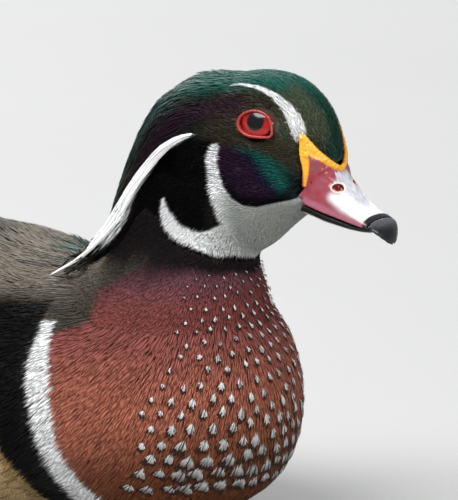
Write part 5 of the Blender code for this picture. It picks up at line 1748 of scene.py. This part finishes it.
class DUCK_OT_stage(Operator):
    """Plain pale floor, soft studio light and the camera"""

    bl_idname = "duck.stage"
    bl_label = "Stage and camera"

    FLOOR_SIZE = 8.0
    LIGHT_DISTANCE = 2.2
    LIT_PLACE = (60, 0, 80)

    def execute(self, context):
        stage = context.scene.duck_stage
        bpy.ops.mesh.primitive_plane_add(size=self.FLOOR_SIZE, location=(0, 0, 0))
        floor = context.active_object
        floor.name = "floor"
        material, sketch, shader = new_material("floor_paper", 0.75)
        patchy = with_group(sketch, "soft_mottle", {"Colour": (*colour("floor"), 1), "Scale": 6.0, "Amount": 0.06})
        sketch.feed(patchy["Colour"], shader["Base Color"])
        floor.data.materials.append(material)
        world = bpy.data.worlds.new("soft_room")
        world.use_nodes = True
        world.node_tree.nodes["Background"].inputs[0].default_value = (0.8, 0.84, 0.88, 1)
        world.node_tree.nodes["Background"].inputs[1].default_value = stage.room_light
        context.scene.world = world
        aim = Vector(self.LIT_PLACE) * MM
        for name, way, size, power in (
            ("key", (-0.3, -0.75, 1.5), 1.6, stage.key_light),
            ("front", (1.5, -0.9, 0.6), 1.2, stage.front_light),
            ("rear", (-0.9, 1.3, 0.9), 1.4, stage.rear_light),
        ):
            place = aim + Vector(way).normalized() * self.LIGHT_DISTANCE
            bpy.ops.object.light_add(type="AREA", location=place)
            light = context.active_object
            light.name = light.data.name = name
            light.data.shape, light.data.size, light.data.energy = "DISK", size, power
            light.rotation_mode = "QUATERNION"
            light.rotation_quaternion = (aim - place).to_track_quat("-Z", "Y")
        self.add_camera(context, stage)
        context.scene.view_settings.view_transform = "Standard"
        return {"FINISHED"}

    def add_camera(self, context, stage):
        """A distant camera that puts the head's middle where the photograph has it."""
        a, e = math.radians(AZIMUTH), math.radians(ELEVATION)
        back = Vector((math.sin(a) * math.cos(e), -math.cos(a) * math.cos(e), math.sin(e)))
        right = Vector((math.cos(a), math.sin(a), 0))
        up = back.cross(right)
        pixel = MM / PIXELS_PER_MM
        across, down = IMAGE_SIZE[0] / 2 - HEAD_PIXEL[0], IMAGE_SIZE[1] / 2 - HEAD_PIXEL[1]
        aim = Vector(HEAD_CENTRE) + right * across * pixel - up * down * pixel
        bpy.ops.object.camera_add(location=aim + back * stage.camera_distance)
        camera = context.active_object
        camera.name = camera.data.name = "view"
        camera.rotation_mode = "QUATERNION"
        camera.rotation_quaternion = (-back).to_track_quat("-Z", "Y")
        camera.data.sensor_width = 36.0
        camera.data.lens = camera.data.sensor_width * stage.camera_distance / (IMAGE_SIZE[1] * pixel)
        camera.data.clip_end = 30.0
        context.scene.camera = camera


def length_field(words, size):
    """A length of the feathers that the panel's settings hold."""
    return FloatProperty(name=words, description=words + " of the feathers", default=size * MM, unit="LENGTH")


class DuckSizes(PropertyGroup):
    """Sizes of the plumage, one set for each coat"""

    skin_voxel: FloatProperty(name="Skin grid", description="Grid size of the skin", default=1.6 * MM, unit="LENGTH")


for coat_name, measures in COATS.items():
    for part_name, measure in zip(("length", "width", "spacing"), measures):
        words = f"{coat_name} {part_name}".capitalize()
        DuckSizes.__annotations__[f"{coat_name}_{part_name}"] = length_field(words, measure)


class DuckColours(PropertyGroup):
    """Colours of the plumage and the bare parts"""


for shade_name, shade in COLOURS.items():
    DuckColours.__annotations__[shade_name] = FloatVectorProperty(
        name=shade_name.replace("_", " ").capitalize(),
        description="Colour of the " + shade_name.replace("_", " "),
        default=shade,
        subtype="COLOR",
        size=3,
        min=0.0,
        max=1.0,
    )


class DuckStage(PropertyGroup):
    """The lights and the camera"""

    key_light: FloatProperty(name="Key light", description="Light from above", default=60.0, unit="POWER")
    front_light: FloatProperty(name="Front light", description="Light on the breast", default=24.0, unit="POWER")
    rear_light: FloatProperty(name="Rear light", description="Light from behind", default=25.0, unit="POWER")
    room_light: FloatProperty(name="Room light", description="Strength of the even room light", default=0.45)
    camera_distance: FloatProperty(name="Camera distance", description="From the bird", default=4.0, unit="LENGTH")


STEPS = (
    DUCK_OT_skin,
    DUCK_OT_head_coat,
    DUCK_OT_crest,
    DUCK_OT_neck_coat,
    DUCK_OT_breast_coat,
    DUCK_OT_body_coat,
    DUCK_OT_flank_rows,
    DUCK_OT_wings,
    DUCK_OT_tail,
    DUCK_OT_eyes,
    DUCK_OT_lids,
    DUCK_OT_bill,
    DUCK_OT_feet,
    DUCK_OT_stage,
)


class DUCK_PT_panel(Panel):
    """The steps that build the bird, in order"""

    bl_label = "Wood duck"
    bl_idname = "DUCK_PT_panel"
    bl_space_type = "VIEW_3D"
    bl_region_type = "UI"
    bl_category = "Wood duck"

    def draw(self, context):
        for step in STEPS:
            self.layout.operator(step.bl_idname)


GROUPS = (("duck_sizes", DuckSizes), ("duck_colours", DuckColours), ("duck_stage", DuckStage))


def register():
    for name, group in GROUPS:
        bpy.utils.register_class(group)
        setattr(bpy.types.Scene, name, PointerProperty(type=group))
    for step in (*STEPS, DUCK_PT_panel):
        bpy.utils.register_class(step)


def unregister():
    for step in reversed((*STEPS, DUCK_PT_panel)):
        bpy.utils.unregister_class(step)
    for name, group in GROUPS:
        delattr(bpy.types.Scene, name)
        bpy.utils.unregister_class(group)


def main():
    register()
    bpy.ops.object.select_all(action="DESELECT")
    for step in STEPS:
        group, name = step.bl_idname.split(".")
        getattr(getattr(bpy.ops, group), name)()


if __name__ == "__main__":
    main()
